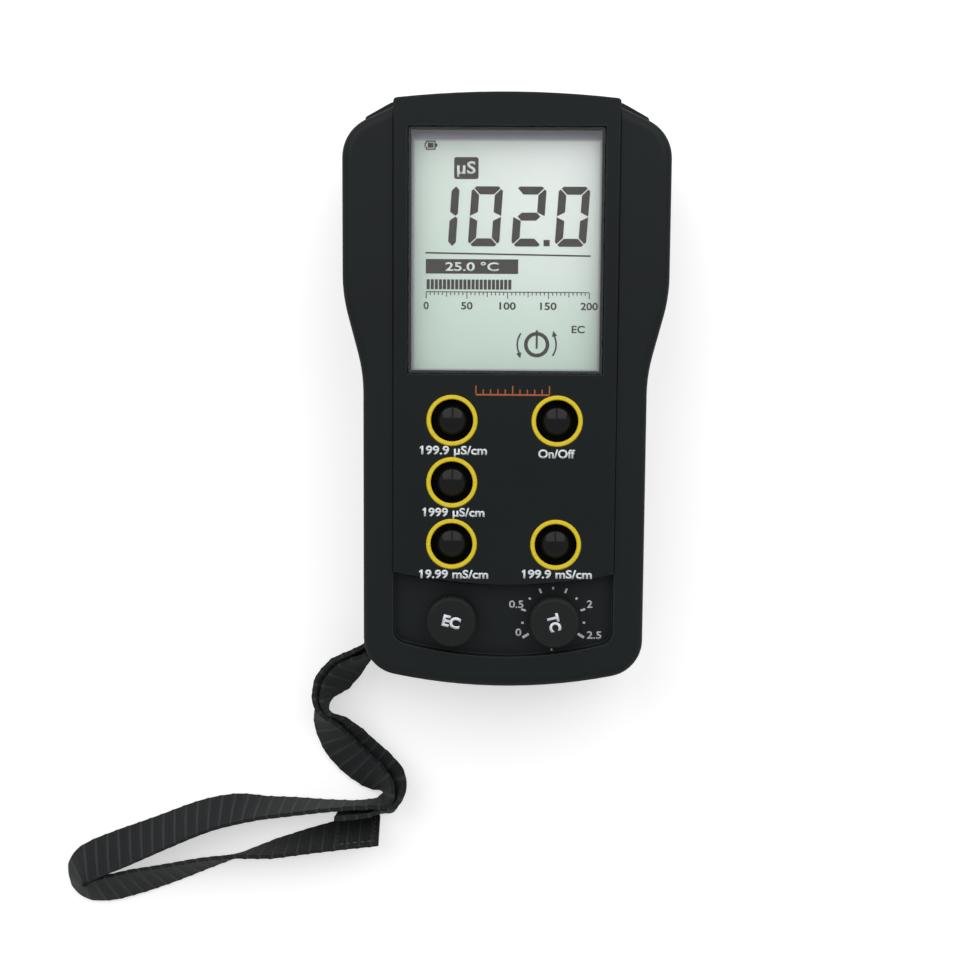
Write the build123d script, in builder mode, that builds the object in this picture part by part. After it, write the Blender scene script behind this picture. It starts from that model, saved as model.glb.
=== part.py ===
from build123d import *
from math import asin, cos, radians, sin, sqrt, tan
import os

os.makedirs("parts", exist_ok=True)

# A hand-held conductivity meter lying on its back. Sizes are in millimetres.
# X points to the right of the display, +Y to the probe socket end and +Z out of the front.
# The origin is under the middle of the case, on the surface that the case lies on.

# Driving dimensions of the case
case_length = 145.0
case_width = 80.0
grip_width = 70.0
knob_top_z = 36.0
panel_face_z = 34.0
crown_z = 32.8
parting_z = 17.0
wall = 2.0
draft = 1.5
front_edge_radius = 2.6
back_edge_radius = 3.0
seam_chamfer = 0.3
slip = 0.15
seat_gap = 0.3
touch_gap = 0.1

# Outline of the case seen from the front
socket_end_inset = 1.9
shoulder_flat_half = 25.5
shoulder_drop = 6.7
shoulder_radius = 10.3
shoulder_crest_radius = 12.0
hip_y = 24.4
waist_y = 5.5
waist_radius = 38.0
heel_sag = 4.6
heel_radius = 9.7

# Raised front panel with its hood over the socket end
panel_width = 54.2
panel_thickness = 3.0
panel_top_sag = 1.5
panel_corner_radius = 0.9
panel_bottom_y = -43.3
panel_bottom_sag = 2.9
panel_edge_radius = 0.5
hood_bottom_z = 24.0
hood_gap = 0.2

# Display: window in the panel, liquid crystal glass behind it
window_width = 47.2
window_bottom_y = 5.6
window_top_y = 64.4
window_thickness = 1.5
window_sink = 0.2
window_ledge = 0.8
glass_margin = 0.9
glass_thickness = 2.0
frame_wall = 1.2
frame_lip = 0.7
zebra_length = 42.0
zebra_width = 2.4

# Knob tray at the lower end
tray_floor_z = 30.0
tray_corner_y = -60.4
tray_bottom_y = -64.3
tray_corner_radius = 3.5
tray_under_panel = 2.0

# Buttons, their rings and the switches that they press
button_x = 12.75
button_y = -5.7
button_pitch = 15.15
button_hole_radius = 5.15
button_skirt_radius = 4.9
button_skirt_top_z = 32.2
button_dome_radius = 3.65
button_dome_edge_z = 33.0
button_top_z = 34.5
button_flange_radius = 5.9
button_flange_thickness = 1.2
button_stem_radius = 1.6
button_travel = 1.0
ring_outer_radius = 6.2
ring_depth = 0.8
ring_rise = 0.2
switch_size = 6.0
switch_height = 2.4
switch_corner = 0.5
plunger_radius = 1.75
plunger_clearance = 0.1
plunger_rise = 1.0
plunger_sink = 0.9

# Knobs, shafts and potentiometers
knob_x = 12.6
knob_y = -55.1
knob_radius = 6.1
knob_gap = 0.35
knob_chamfer = 0.5
knurl_count = 36
knurl_size = 0.42
knurl_land = 1.0
shaft_radius = 3.0
shaft_flat = 0.5
shaft_clearance = 0.05
shaft_cap = 1.6
pot_size = 9.6
pot_corner = 0.6
pot_shaft_depth = 3.0
bushing_radius = 4.2

# Circuit board and what stands on it
board_top_z = 23.0
board_thickness = 1.6
board_head_half = 31.0
board_grip_half = 24.2
board_top_y = 66.6
board_waist_y = 2.0
board_bottom_y = -62.0
board_corner = 6.0
chip_size = (7.6, 19.0, 3.4)
chip_y = 44.0
chip_pitch = 17.0
chip_chamfer = 0.4
capacitor_radius = 3.2
capacitor_height = 11.0
capacitor_y = 20.0
capacitor_pitch = 14.0
capacitor_edge_radius = 0.5
row_count = 3

# Screws and bosses
boss_radius = 3.2
head_boss = (33.0, 52.0)
grip_boss = (28.0, -49.0)
case_screw_radius = 1.45
case_screw_head_radius = 2.7
case_screw_head_height = 2.0
case_screw_sink = 1.0
case_screw_top_z = 26.0
cross_slot_length = 3.0
cross_slot_width = 0.7
cross_slot_depth = 1.0
screw_tip_gap = 1.0
board_boss_radius = 2.1
board_boss_places = [(28.2, 60.0), (28.2, 9.0), (20.8, -46.0)]
board_screw_radius = 1.0
board_screw_head_radius = 1.9
board_screw_head_height = 1.4
board_screw_length = 5.0

# Socket end cap and round probe socket
cap_half = 34.7
cap_flat_half = 26.6
cap_top_y = 72.3
cap_end_drop = 4.5
cap_bottom_z = 3.6
cap_corner_radius = 1.0
socket_z = 12.4
socket_tube_radius = 8.6
socket_tube_depth = 11.5
socket_ring_outer = 7.2
socket_ring_inner = 6.75
socket_well = 7.0
insert_depth = 4.5
contact_count = 7
contact_circle = 4.45
contact_step = 45.0
contact_radius = 0.55
contact_recess = 2.5
contact_tail = 3.5
key_size = 2.4

# Battery, its bay and its sliding cover
battery_width = 26.5
battery_height = 17.5
battery_body = 46.4
battery_bottom_y = -56.4
battery_edge_radius = 1.5
terminal_height = 2.1
terminal_spacing = 12.7
terminal_radius = 3.2
snap_thickness = 3.2
snap_width = 25.0
snap_height = 11.5
snap_corner = 2.0
bay_wall = 1.2
bay_slack = 0.4
bay_top_y = -1.6
lead_radius = 0.65
lead_bend = 2.2
lead_run = 5.6
cover_half = 19.0
cover_thickness = 1.8
cover_top_y = -3.0
cover_gap = 0.3
cover_tongue = 1.2
cover_tongue_z = 1.0
cover_bed = 1.7
tongue_end_inset = 20.0
thumb_inset = 12.0
thumb_length = 23.8
rib_length = 14.2
rib_width = 0.8
cover_grip_ribs = 5
cover_grip_pitch = 2.4

# Wrist strap, its steel bar and the pocket for them in the corner of the case
strap_width = 12.0
strap_thickness = 1.2
strap_bar_radius = 1.0
lug_angle = 218.0
lug_bar_inset = 2.4
lug_width = 5.6
lug_depth = 5.4
lug_bottom_z = 2.4
lug_height = 13.0
lug_wall = 1.6

# Heights that follow from the sizes above
head_half = case_width / 2
grip_half = grip_width / 2
end_y = case_length / 2
shell_top_y = end_y - socket_end_inset
heel_y = heel_sag - end_y
panel_half = panel_width / 2
panel_seat_z = panel_face_z - panel_thickness
shell_ceiling_z = crown_z - wall
panel_ceiling_z = panel_seat_z - wall
tray_ceiling_z = tray_floor_z - wall
board_bottom_z = board_top_z - board_thickness
window_seat_z = panel_face_z - window_sink - window_thickness
frame_top_z = panel_ceiling_z - touch_gap
glass_top_z = frame_top_z - frame_lip
glass_bottom_z = glass_top_z - glass_thickness
window_length = window_top_y - window_bottom_y
window_y = (window_top_y + window_bottom_y) / 2
switch_top_z = board_top_z + switch_height
plunger_top_z = switch_top_z + plunger_rise
battery_bottom_z = cover_thickness + cover_gap
battery_top_z = battery_bottom_z + battery_height
cap_top_z = hood_bottom_z - hood_gap

button_places = [
    (-button_x, button_y),
    (-button_x, button_y - button_pitch),
    (-button_x, button_y - 2 * button_pitch),
    (button_x, button_y - 2 * button_pitch),
    (button_x, button_y),
]
knob_places = [(-knob_x, knob_y), (knob_x, knob_y)]
case_screw_places = [(side * x, y) for x, y in (head_boss, grip_boss) for side in (-1, 1)]
board_screw_places = [(side * x, y) for x, y in board_boss_places for side in (-1, 1)]


def level(z):
    """Sketch plane parallel to the front, at height z."""
    return Plane.XY.offset(z)


def corners(shape, x, y):
    """Vertices of a sketch at plus or minus x and at y."""
    return [v for v in shape.vertices() if abs(abs(v.X) - x) < 0.01 and abs(v.Y - y) < 0.01]


def finish(builder, name):
    """Label a finished piece and write its file."""
    builder.part.label = name
    export_step(builder.part, f"parts/{name}.step")


# Case outline: broad head with sloped shoulders, S-shaped waist, straight grip, bowed heel
with BuildSketch() as case_outline:
    with BuildLine():
        left_side = Polyline(
            (0, shell_top_y),
            (-shoulder_flat_half, shell_top_y),
            (-head_half, shell_top_y - shoulder_drop),
            (-head_half, hip_y),
            (-grip_half, waist_y),
            (-grip_half, heel_y),
        )
        ThreePointArc((-grip_half, heel_y), (0, -end_y), (grip_half, heel_y))
        mirror(left_side, about=Plane.YZ)
    make_face()
    fillet(corners(case_outline, shoulder_flat_half, shell_top_y), shoulder_crest_radius)
    fillet(corners(case_outline, head_half, shell_top_y - shoulder_drop), shoulder_radius)
    fillet(corners(case_outline, head_half, hip_y), waist_radius)
    fillet(corners(case_outline, grip_half, waist_y), waist_radius)
    fillet(corners(case_outline, grip_half, heel_y), heel_radius)

# Panel outline: straight sides, gently bowed ends
with BuildSketch() as panel_outline:
    with BuildLine():
        ThreePointArc((-panel_half, end_y - panel_top_sag), (0, end_y), (panel_half, end_y - panel_top_sag))
        Line((panel_half, end_y - panel_top_sag), (panel_half, panel_bottom_y))
        ThreePointArc(
            (panel_half, panel_bottom_y),
            (0, panel_bottom_y - panel_bottom_sag),
            (-panel_half, panel_bottom_y),
        )
        Line((-panel_half, panel_bottom_y), (-panel_half, end_y - panel_top_sag))
    make_face()
    fillet(corners(panel_outline, panel_half, end_y - panel_top_sag), panel_corner_radius)

# Tray outline: as wide as the panel, reaching a little under its lower edge
with BuildSketch() as tray_outline:
    with BuildLine():
        tray_top_y = panel_bottom_y + tray_under_panel
        ThreePointArc(
            (-panel_half, tray_top_y),
            (0, tray_top_y - panel_bottom_sag),
            (panel_half, tray_top_y),
        )
        Line((panel_half, tray_top_y), (panel_half, tray_corner_y))
        ThreePointArc((panel_half, tray_corner_y), (0, tray_bottom_y), (-panel_half, tray_corner_y))
        Line((-panel_half, tray_corner_y), (-panel_half, tray_top_y))
    make_face()
    fillet(corners(tray_outline, panel_half, tray_corner_y), tray_corner_radius)

# Corner pocket for the strap bar: along a line that leaves the heel corner at lug_angle
heel_arc_radius = (grip_half**2 + heel_sag**2) / (2 * heel_sag)
heel_centre_y = -end_y + heel_arc_radius
corner_x = -(grip_half - heel_radius)
corner_y = heel_centre_y - sqrt((heel_arc_radius - heel_radius) ** 2 - corner_x**2)
lug_out = Vector(cos(radians(lug_angle)), sin(radians(lug_angle)))
bar_reach = heel_radius - lug_bar_inset
bar_place = (corner_x + bar_reach * lug_out.X, corner_y + bar_reach * lug_out.Y)


def lug_box(margin, reach):
    """Sketch of the pocket seen from the front, with its walls when margin is their thickness."""
    inner = bar_reach - (lug_depth - lug_bar_inset) - margin
    middle = (inner + reach) / 2
    with BuildSketch(mode=Mode.PRIVATE) as box:
        with Locations(Location((corner_x + middle * lug_out.X, corner_y + middle * lug_out.Y), lug_angle)):
            Rectangle(reach - inner, lug_width + 2 * margin)
    return box.sketch


# Front shell: drafted and rounded, hollow, with the panel recess, the tray, bosses and a lip groove
with BuildPart() as front_shell:
    with BuildSketch(level(parting_z)):
        add(case_outline.sketch)
    extrude(amount=crown_z - parting_z, taper=draft)
    fillet(front_shell.edges().group_by(Axis.Z)[-1], front_edge_radius)
    chamfer(front_shell.edges().group_by(Axis.Z)[0], seam_chamfer)
    with BuildSketch(level(parting_z)):
        offset(case_outline.sketch, -wall)
    extrude(amount=shell_ceiling_z - parting_z, taper=draft, mode=Mode.SUBTRACT)
    # Thicker ceiling that carries the panel and the tray
    with BuildSketch(level(tray_ceiling_z)):
        offset(tray_outline.sketch, wall)
        offset(case_outline.sketch, -wall / 2, mode=Mode.INTERSECT)
    extrude(amount=crown_z - wall - tray_ceiling_z)
    with BuildSketch(level(panel_ceiling_z)):
        offset(panel_outline.sketch, wall)
        offset(case_outline.sketch, -wall / 2, mode=Mode.INTERSECT)
    extrude(amount=crown_z - wall - panel_ceiling_z)
    # Bosses for the case screws and the board screws
    with BuildSketch(level(parting_z)):
        with Locations(case_screw_places):
            Circle(boss_radius)
    extrude(amount=shell_ceiling_z - parting_z + slip)
    with BuildSketch(level(board_top_z)):
        with Locations(board_screw_places):
            Circle(board_boss_radius)
    extrude(amount=tray_ceiling_z - board_top_z + slip)
    with BuildSketch(level(board_top_z)):
        with Locations([place for place in board_screw_places if place[1] > 0]):
            Circle(board_boss_radius)
    extrude(amount=shell_ceiling_z - board_top_z + slip)
    with BuildSketch(level(parting_z)):
        with Locations(case_screw_places):
            Circle(case_screw_radius + shaft_clearance)
    extrude(amount=case_screw_top_z + screw_tip_gap - parting_z, mode=Mode.SUBTRACT)
    with BuildSketch(level(board_top_z)):
        with Locations(board_screw_places):
            Circle(board_screw_radius + shaft_clearance)
    extrude(amount=board_screw_length - board_thickness, mode=Mode.SUBTRACT)
    # Room for the button flanges, recess of the panel and pocket of the knob tray
    with BuildSketch(level(panel_ceiling_z)):
        with Locations(button_places):
            Circle(button_flange_radius + seat_gap)
    extrude(amount=tray_ceiling_z - panel_ceiling_z - wall, mode=Mode.SUBTRACT)
    with BuildSketch(level(panel_seat_z)):
        offset(panel_outline.sketch, slip)
    extrude(amount=panel_thickness, mode=Mode.SUBTRACT)
    with BuildSketch(level(tray_floor_z)):
        add(tray_outline.sketch)
    extrude(amount=panel_face_z - tray_floor_z, mode=Mode.SUBTRACT)
    # Openings for the display, the buttons, the bushings and the socket tube
    with BuildSketch(level(tray_ceiling_z - wall)):
        with Locations((0, window_y)):
            Rectangle(window_width + glass_margin, window_length + glass_margin)
        with Locations(button_places):
            Circle(button_hole_radius)
        with Locations(knob_places):
            Circle(bushing_radius + slip)
    extrude(amount=crown_z, mode=Mode.SUBTRACT)
    with BuildSketch(Plane.XZ.offset(-end_y)):
        with Locations((0, socket_z)):
            Circle(socket_tube_radius + slip)
    extrude(amount=socket_tube_depth, mode=Mode.SUBTRACT)
finish(front_shell, "front_shell")

# Outer form of the rear half, shared by the rear shell and the battery cover
rear_plane = Plane((0, 0, parting_z), x_dir=(-1, 0, 0), z_dir=(0, 0, -1))
with BuildPart() as rear_form:
    with BuildSketch(rear_plane):
        add(case_outline.sketch)
    extrude(amount=parting_z, taper=draft)
    fillet(rear_form.edges().group_by(Axis.Z)[0], back_edge_radius)

# Rear shell: hollow, with the battery bay, the bed of the sliding cover, the strap pocket and bosses
bay_half = battery_width / 2 + bay_slack
bay_bottom_y = battery_bottom_y - bay_slack
bay_length = bay_top_y - bay_bottom_y
bay_y = (bay_top_y + bay_bottom_y) / 2
bay_ceiling_z = battery_top_z + touch_gap
bed_top_z = cover_thickness + cover_gap + cover_bed
with BuildPart() as rear_shell:
    add(rear_form.part)
    with BuildSketch(rear_plane):
        offset(case_outline.sketch, -wall)
    extrude(amount=parting_z - wall, taper=draft, mode=Mode.SUBTRACT)
    # Bed over the sliding cover and box of the battery bay
    with BuildSketch(level(wall / 2)):
        with Locations((0, cover_top_y + wall - end_y / 2)):
            Rectangle(2 * (cover_half + cover_tongue + wall), end_y)
        offset(case_outline.sketch, -wall, mode=Mode.INTERSECT)
    extrude(amount=bed_top_z - wall / 2)
    with BuildSketch(level(wall)):
        with Locations((0, bay_y)):
            Rectangle(2 * (bay_half + bay_wall), bay_length + 2 * bay_wall)
    extrude(amount=bay_ceiling_z + bay_wall - wall)
    with BuildSketch(level(0)):
        with Locations((0, bay_y)):
            Rectangle(2 * bay_half, bay_length)
    extrude(amount=bay_ceiling_z, mode=Mode.SUBTRACT)
    # Track of the sliding cover, open at the heel
    with BuildSketch(level(0)):
        with Locations((0, cover_top_y + cover_gap - end_y / 2)):
            Rectangle(2 * (cover_half + cover_gap), end_y)
    extrude(amount=cover_thickness + cover_gap, mode=Mode.SUBTRACT)
    with BuildSketch(level(cover_tongue_z - cover_gap)):
        with Locations((0, cover_top_y - wall - end_y / 2)):
            Rectangle(2 * (cover_half + cover_tongue + cover_gap), end_y)
    extrude(amount=cover_thickness + 2 * cover_gap - cover_tongue_z, mode=Mode.SUBTRACT)
    # Way out of the bay for the battery leads
    with BuildSketch(Plane.XZ.offset(-bay_top_y)):
        with Locations((0, battery_bottom_z + battery_height / 2)):
            Rectangle(2 * terminal_radius, terminal_radius + 2 * lead_radius)
    extrude(amount=-2 * bay_wall, mode=Mode.SUBTRACT)
    # Bosses with countersunk seats for the case screws
    with BuildSketch(level(wall / 2)):
        with Locations(case_screw_places):
            Circle(boss_radius + wall / 4)
    extrude(amount=parting_z - wall / 2)
    with Locations([(x, y, 0) for x, y in case_screw_places]):
        with Locations(Location((0, 0, 0), (180, 0, 0))):
            CounterBoreHole(
                case_screw_radius + slip,
                case_screw_head_radius + slip,
                case_screw_sink + case_screw_head_height,
                depth=parting_z,
            )
    # Strap pocket with its walls in the heel corner, and the two seats of the bar
    with BuildSketch(level(lug_bottom_z - lug_wall)):
        add(lug_box(lug_wall, heel_radius))
        offset(case_outline.sketch, -wall / 2, mode=Mode.INTERSECT)
    extrude(amount=parting_z - lug_bottom_z + lug_wall)
    with BuildSketch(level(lug_bottom_z)):
        add(lug_box(0, heel_radius + wall))
    extrude(amount=lug_height, mode=Mode.SUBTRACT)
    with BuildSketch(level(lug_bottom_z - lug_wall / 2)):
        with Locations(bar_place):
            Circle(strap_bar_radius + shaft_clearance / 2)
    extrude(amount=lug_height + lug_wall, mode=Mode.SUBTRACT)
    with BuildSketch(Plane.XZ.offset(-end_y)):
        with Locations((0, socket_z)):
            Circle(socket_tube_radius + slip)
    extrude(amount=socket_tube_depth, mode=Mode.SUBTRACT)
finish(rear_shell, "rear_shell")

# Battery cover: slides off over the heel on two side tongues, with a ribbed thumb hollow
thumb_y = cover_top_y - thumb_inset
tongue_top_y = cover_top_y - wall - cover_gap
tongue_length = tongue_top_y - heel_y - tongue_end_inset
with BuildPart() as battery_cover:
    add(rear_form.part)
    with BuildSketch(level(0)):
        with Locations((0, cover_top_y - end_y / 2)):
            Rectangle(2 * cover_half, end_y)
    extrude(amount=cover_thickness, mode=Mode.INTERSECT)
    with BuildSketch(level(cover_tongue_z)):
        with Locations((0, tongue_top_y - tongue_length / 2)):
            Rectangle(2 * (cover_half + cover_tongue), tongue_length)
    extrude(amount=cover_thickness - cover_tongue_z)
    with BuildSketch(level(0)):
        with Locations((0, thumb_y)):
            SlotOverall(thumb_length, cover_grip_pitch * (cover_grip_ribs + 1))
    extrude(amount=cover_thickness / 2, mode=Mode.SUBTRACT)
    with BuildSketch(level(slip)):
        with Locations((0, thumb_y)):
            with GridLocations(0, cover_grip_pitch, 1, cover_grip_ribs):
                Rectangle(rib_length, rib_width)
    extrude(amount=cover_thickness / 2)
finish(battery_cover, "battery_cover")

# Front panel: bowed plate with a hood over the socket end, seats for the window and the rings
with BuildPart() as front_panel:
    with BuildSketch(level(panel_seat_z)):
        add(panel_outline.sketch)
    extrude(amount=panel_thickness)
    fillet(front_panel.edges().group_by(Axis.Z)[-1], panel_edge_radius)
    with BuildSketch(level(hood_bottom_z)):
        add(panel_outline.sketch)
        offset(case_outline.sketch, slip, mode=Mode.SUBTRACT)
    extrude(amount=panel_seat_z - hood_bottom_z)
    with BuildSketch(level(window_seat_z)):
        with Locations((0, window_y)):
            Rectangle(window_width + 2 * shaft_clearance, window_length + 2 * shaft_clearance)
    extrude(amount=panel_thickness, mode=Mode.SUBTRACT)
    with BuildSketch(level(panel_seat_z)):
        with Locations((0, window_y)):
            Rectangle(window_width - 2 * window_ledge, window_length - 2 * window_ledge)
        with Locations(button_places):
            Circle(button_hole_radius)
    extrude(amount=panel_thickness, mode=Mode.SUBTRACT)
    with BuildSketch(level(panel_face_z - ring_depth)):
        with Locations(button_places):
            Circle(ring_outer_radius + shaft_clearance)
    extrude(amount=ring_depth, mode=Mode.SUBTRACT)
finish(front_panel, "front_panel")

# Display window: clear plate with eased edges
with BuildPart() as display_window:
    with BuildSketch(level(window_seat_z)):
        with Locations((0, window_y)):
            Rectangle(window_width, window_length)
    extrude(amount=window_thickness)
    chamfer(display_window.edges().group_by(Axis.Z)[-1], window_sink)
finish(display_window, "display_window")

# Liquid crystal glass, the frame that clamps it and the two rubber contact strips under it
glass_width = window_width + 2 * glass_margin - window_ledge
glass_length = window_length + 2 * glass_margin - window_ledge
with BuildPart() as lcd_glass:
    with BuildSketch(level(glass_bottom_z)):
        with Locations((0, window_y)):
            Rectangle(glass_width, glass_length)
    extrude(amount=glass_thickness)
finish(lcd_glass, "lcd_glass")

with BuildPart() as lcd_frame:
    with BuildSketch(level(board_top_z)):
        with Locations((0, window_y)):
            Rectangle(glass_width + 2 * frame_wall, glass_length + 2 * frame_wall)
    extrude(amount=frame_top_z - board_top_z)
    with BuildSketch(level(board_top_z)):
        with Locations((0, window_y)):
            Rectangle(glass_width + 2 * slip, glass_length + 2 * slip)
    extrude(amount=glass_top_z - board_top_z, mode=Mode.SUBTRACT)
    with BuildSketch(level(glass_top_z)):
        with Locations((0, window_y)):
            Rectangle(window_width, window_length)
    extrude(amount=frame_lip, mode=Mode.SUBTRACT)
finish(lcd_frame, "lcd_frame")

with BuildPart() as zebra_strips:
    with BuildSketch(level(board_top_z)):
        with Locations((0, window_y)):
            with GridLocations(0, glass_length - 2 * zebra_width, 1, 2):
                Rectangle(zebra_length, zebra_width)
    extrude(amount=glass_bottom_z - board_top_z)
finish(zebra_strips, "zebra_strips")

# Main board: broad under the display, narrow in the grip, notched round the case bosses
with BuildPart() as main_board:
    with BuildSketch(level(board_bottom_z)) as board_outline:
        with BuildLine():
            board_side = Polyline(
                (0, board_top_y),
                (board_head_half, board_top_y),
                (board_head_half, board_waist_y),
                (board_grip_half, board_waist_y),
                (board_grip_half, board_bottom_y),
                (0, board_bottom_y),
            )
            mirror(board_side, about=Plane.YZ)
        make_face()
        chamfer(corners(board_outline, board_head_half, board_top_y), board_corner)
        with Locations(case_screw_places):
            Circle(boss_radius + seat_gap, mode=Mode.SUBTRACT)
        with Locations(board_screw_places):
            Circle(board_screw_radius + slip, mode=Mode.SUBTRACT)
    extrude(amount=board_thickness)
finish(main_board, "main_board")

# Logic chips and capacitors under the board
with BuildPart() as board_chips:
    with Locations((0, chip_y, board_bottom_z - chip_size[2] / 2)):
        with GridLocations(chip_pitch, 0, row_count, 1):
            Box(*chip_size)
    chamfer(board_chips.edges().group_by(Axis.Z)[0], chip_chamfer)
finish(board_chips, "board_chips")

with BuildPart() as board_capacitors:
    with BuildSketch(level(board_bottom_z)):
        with Locations((0, capacitor_y)):
            with GridLocations(capacitor_pitch, 0, row_count, 1):
                Circle(capacitor_radius)
    extrude(amount=-capacitor_height)
    fillet(board_capacitors.edges().group_by(Axis.Z)[0], capacitor_edge_radius)
finish(board_capacitors, "board_capacitors")

# Five push buttons: a glossy dome on a skirt that is held by a flange under the shell
dome_height = button_top_z - button_dome_edge_z
dome_sphere = (button_dome_radius**2 + dome_height**2) / (2 * dome_height)
dome_angle = asin(button_dome_radius / dome_sphere)
button_flange_top_z = panel_ceiling_z - seat_gap
button_flange_bottom_z = button_flange_top_z - button_flange_thickness
for number, (x, y) in enumerate(button_places, start=1):
    name = f"range_button_{number}" if number < len(button_places) else "power_button"
    with BuildPart() as button:
        with BuildSketch(Plane.XZ):
            with BuildLine():
                Polyline(
                    (0, plunger_top_z),
                    (button_stem_radius, plunger_top_z),
                    (button_stem_radius, button_flange_bottom_z),
                    (button_flange_radius, button_flange_bottom_z),
                    (button_flange_radius, button_flange_top_z),
                    (button_skirt_radius, button_flange_top_z),
                    (button_skirt_radius, button_skirt_top_z),
                    (button_dome_radius, button_skirt_top_z),
                    (button_dome_radius, button_dome_edge_z),
                )
                ThreePointArc(
                    (button_dome_radius, button_dome_edge_z),
                    (dome_sphere * sin(dome_angle / 2), button_top_z - dome_sphere * (1 - cos(dome_angle / 2))),
                    (0, button_top_z),
                )
                Line((0, button_top_z), (0, plunger_top_z))
            make_face()
        revolve(axis=Axis.Z)
    button.part = button.part.moved(Location((x, y, 0)))
    finish(button, name)

    # Printed ring round the button, let into the panel
    with BuildPart() as button_ring:
        with BuildSketch(level(panel_face_z - ring_depth)):
            with Locations((x, y)):
                Circle(ring_outer_radius)
                Circle(button_hole_radius, mode=Mode.SUBTRACT)
        extrude(amount=ring_depth + ring_rise)
        chamfer(button_ring.edges().group_by(Axis.Z)[-1], ring_rise)
    finish(button_ring, f"button_ring_{number}")

    # Switch on the board, with the plunger that the button's stem presses
    with BuildPart() as tact_switch:
        with BuildSketch(level(board_top_z)):
            with Locations((x, y)):
                RectangleRounded(switch_size, switch_size, switch_corner)
        extrude(amount=switch_height)
        with BuildSketch(level(switch_top_z)):
            with Locations((x, y)):
                Circle(plunger_radius + plunger_clearance)
        extrude(amount=-button_travel - plunger_rise, mode=Mode.SUBTRACT)
    finish(tact_switch, f"tact_switch_{number}")

    with BuildPart() as switch_plunger:
        with BuildSketch(level(plunger_top_z)):
            with Locations((x, y)):
                Circle(plunger_radius)
        extrude(amount=-plunger_rise - plunger_sink)
    finish(switch_plunger, f"switch_plunger_{number}")

# Two knobs with knurled sides, their shafts and the potentiometers on the board
shaft_bottom_z = board_top_z + pot_shaft_depth / 2
shaft_top_z = knob_top_z - shaft_cap
for name, (x, y) in zip(("ec", "tc"), knob_places):
    with BuildPart() as knob:
        with BuildSketch(level(tray_floor_z + knob_gap)):
            Circle(knob_radius)
            with PolarLocations(knob_radius, knurl_count):
                Rectangle(knurl_size, knurl_size, rotation=45, mode=Mode.SUBTRACT)
        extrude(amount=knob_top_z - knurl_land - tray_floor_z - knob_gap)
        with BuildSketch(level(knob_top_z - knurl_land)):
            Circle(knob_radius)
        extrude(amount=knurl_land)
        chamfer(knob.edges().group_by(Axis.Z)[-1], knob_chamfer)
        with BuildSketch(level(tray_floor_z + knob_gap)):
            Circle(shaft_radius + shaft_clearance)
            with Locations((0, 2 * shaft_radius - shaft_flat + shaft_clearance)):
                Rectangle(2 * shaft_radius, 2 * shaft_radius, mode=Mode.SUBTRACT)
        extrude(amount=shaft_top_z + seat_gap - tray_floor_z - knob_gap, mode=Mode.SUBTRACT)
    knob.part = knob.part.moved(Location((x, y, 0)))
    finish(knob, f"{name}_knob")

    with BuildPart() as shaft:
        with BuildSketch(level(shaft_bottom_z)):
            Circle(shaft_radius)
        extrude(amount=shaft_top_z - shaft_bottom_z)
        with BuildSketch(level(tray_floor_z + knob_gap)):
            with Locations((0, 2 * shaft_radius - shaft_flat)):
                Rectangle(2 * shaft_radius, 2 * shaft_radius)
        extrude(amount=shaft_top_z - tray_floor_z, mode=Mode.SUBTRACT)
    shaft.part = shaft.part.moved(Location((x, y, 0)))
    finish(shaft, f"{name}_shaft")

    with BuildPart() as potentiometer:
        with BuildSketch(level(board_top_z)):
            with Locations((x, y)):
                RectangleRounded(pot_size, pot_size, pot_corner)
        extrude(amount=tray_ceiling_z - seat_gap - board_top_z)
        with BuildSketch(level(board_top_z + pot_shaft_depth)):
            with Locations((x, y)):
                Circle(bushing_radius)
        extrude(amount=tray_floor_z - slip - board_top_z - pot_shaft_depth)
        with BuildSketch(level(shaft_bottom_z - slip)):
            with Locations((x, y)):
                Circle(shaft_radius + shaft_clearance)
        extrude(amount=tray_floor_z, mode=Mode.SUBTRACT)
    finish(potentiometer, f"{name}_potentiometer")

# Four case screws from the back and six board screws from behind the board
with BuildPart() as case_screws:
    with BuildSketch(level(case_screw_sink)):
        with Locations(case_screw_places):
            Circle(case_screw_head_radius)
    extrude(amount=case_screw_head_height)
    with BuildSketch(level(case_screw_sink)):
        with Locations(case_screw_places):
            Circle(case_screw_radius)
    extrude(amount=case_screw_top_z - case_screw_sink)
    with BuildSketch(level(case_screw_sink)):
        with Locations(case_screw_places):
            Rectangle(cross_slot_length, cross_slot_width)
            Rectangle(cross_slot_width, cross_slot_length)
    extrude(amount=cross_slot_depth, mode=Mode.SUBTRACT)
finish(case_screws, "case_screws")

with BuildPart() as board_screws:
    with BuildSketch(level(board_bottom_z)):
        with Locations(board_screw_places):
            Circle(board_screw_head_radius)
    extrude(amount=-board_screw_head_height)
    with BuildSketch(level(board_bottom_z)):
        with Locations(board_screw_places):
            Circle(board_screw_radius)
    extrude(amount=board_screw_length - seat_gap)
finish(board_screws, "board_screws")

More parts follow.
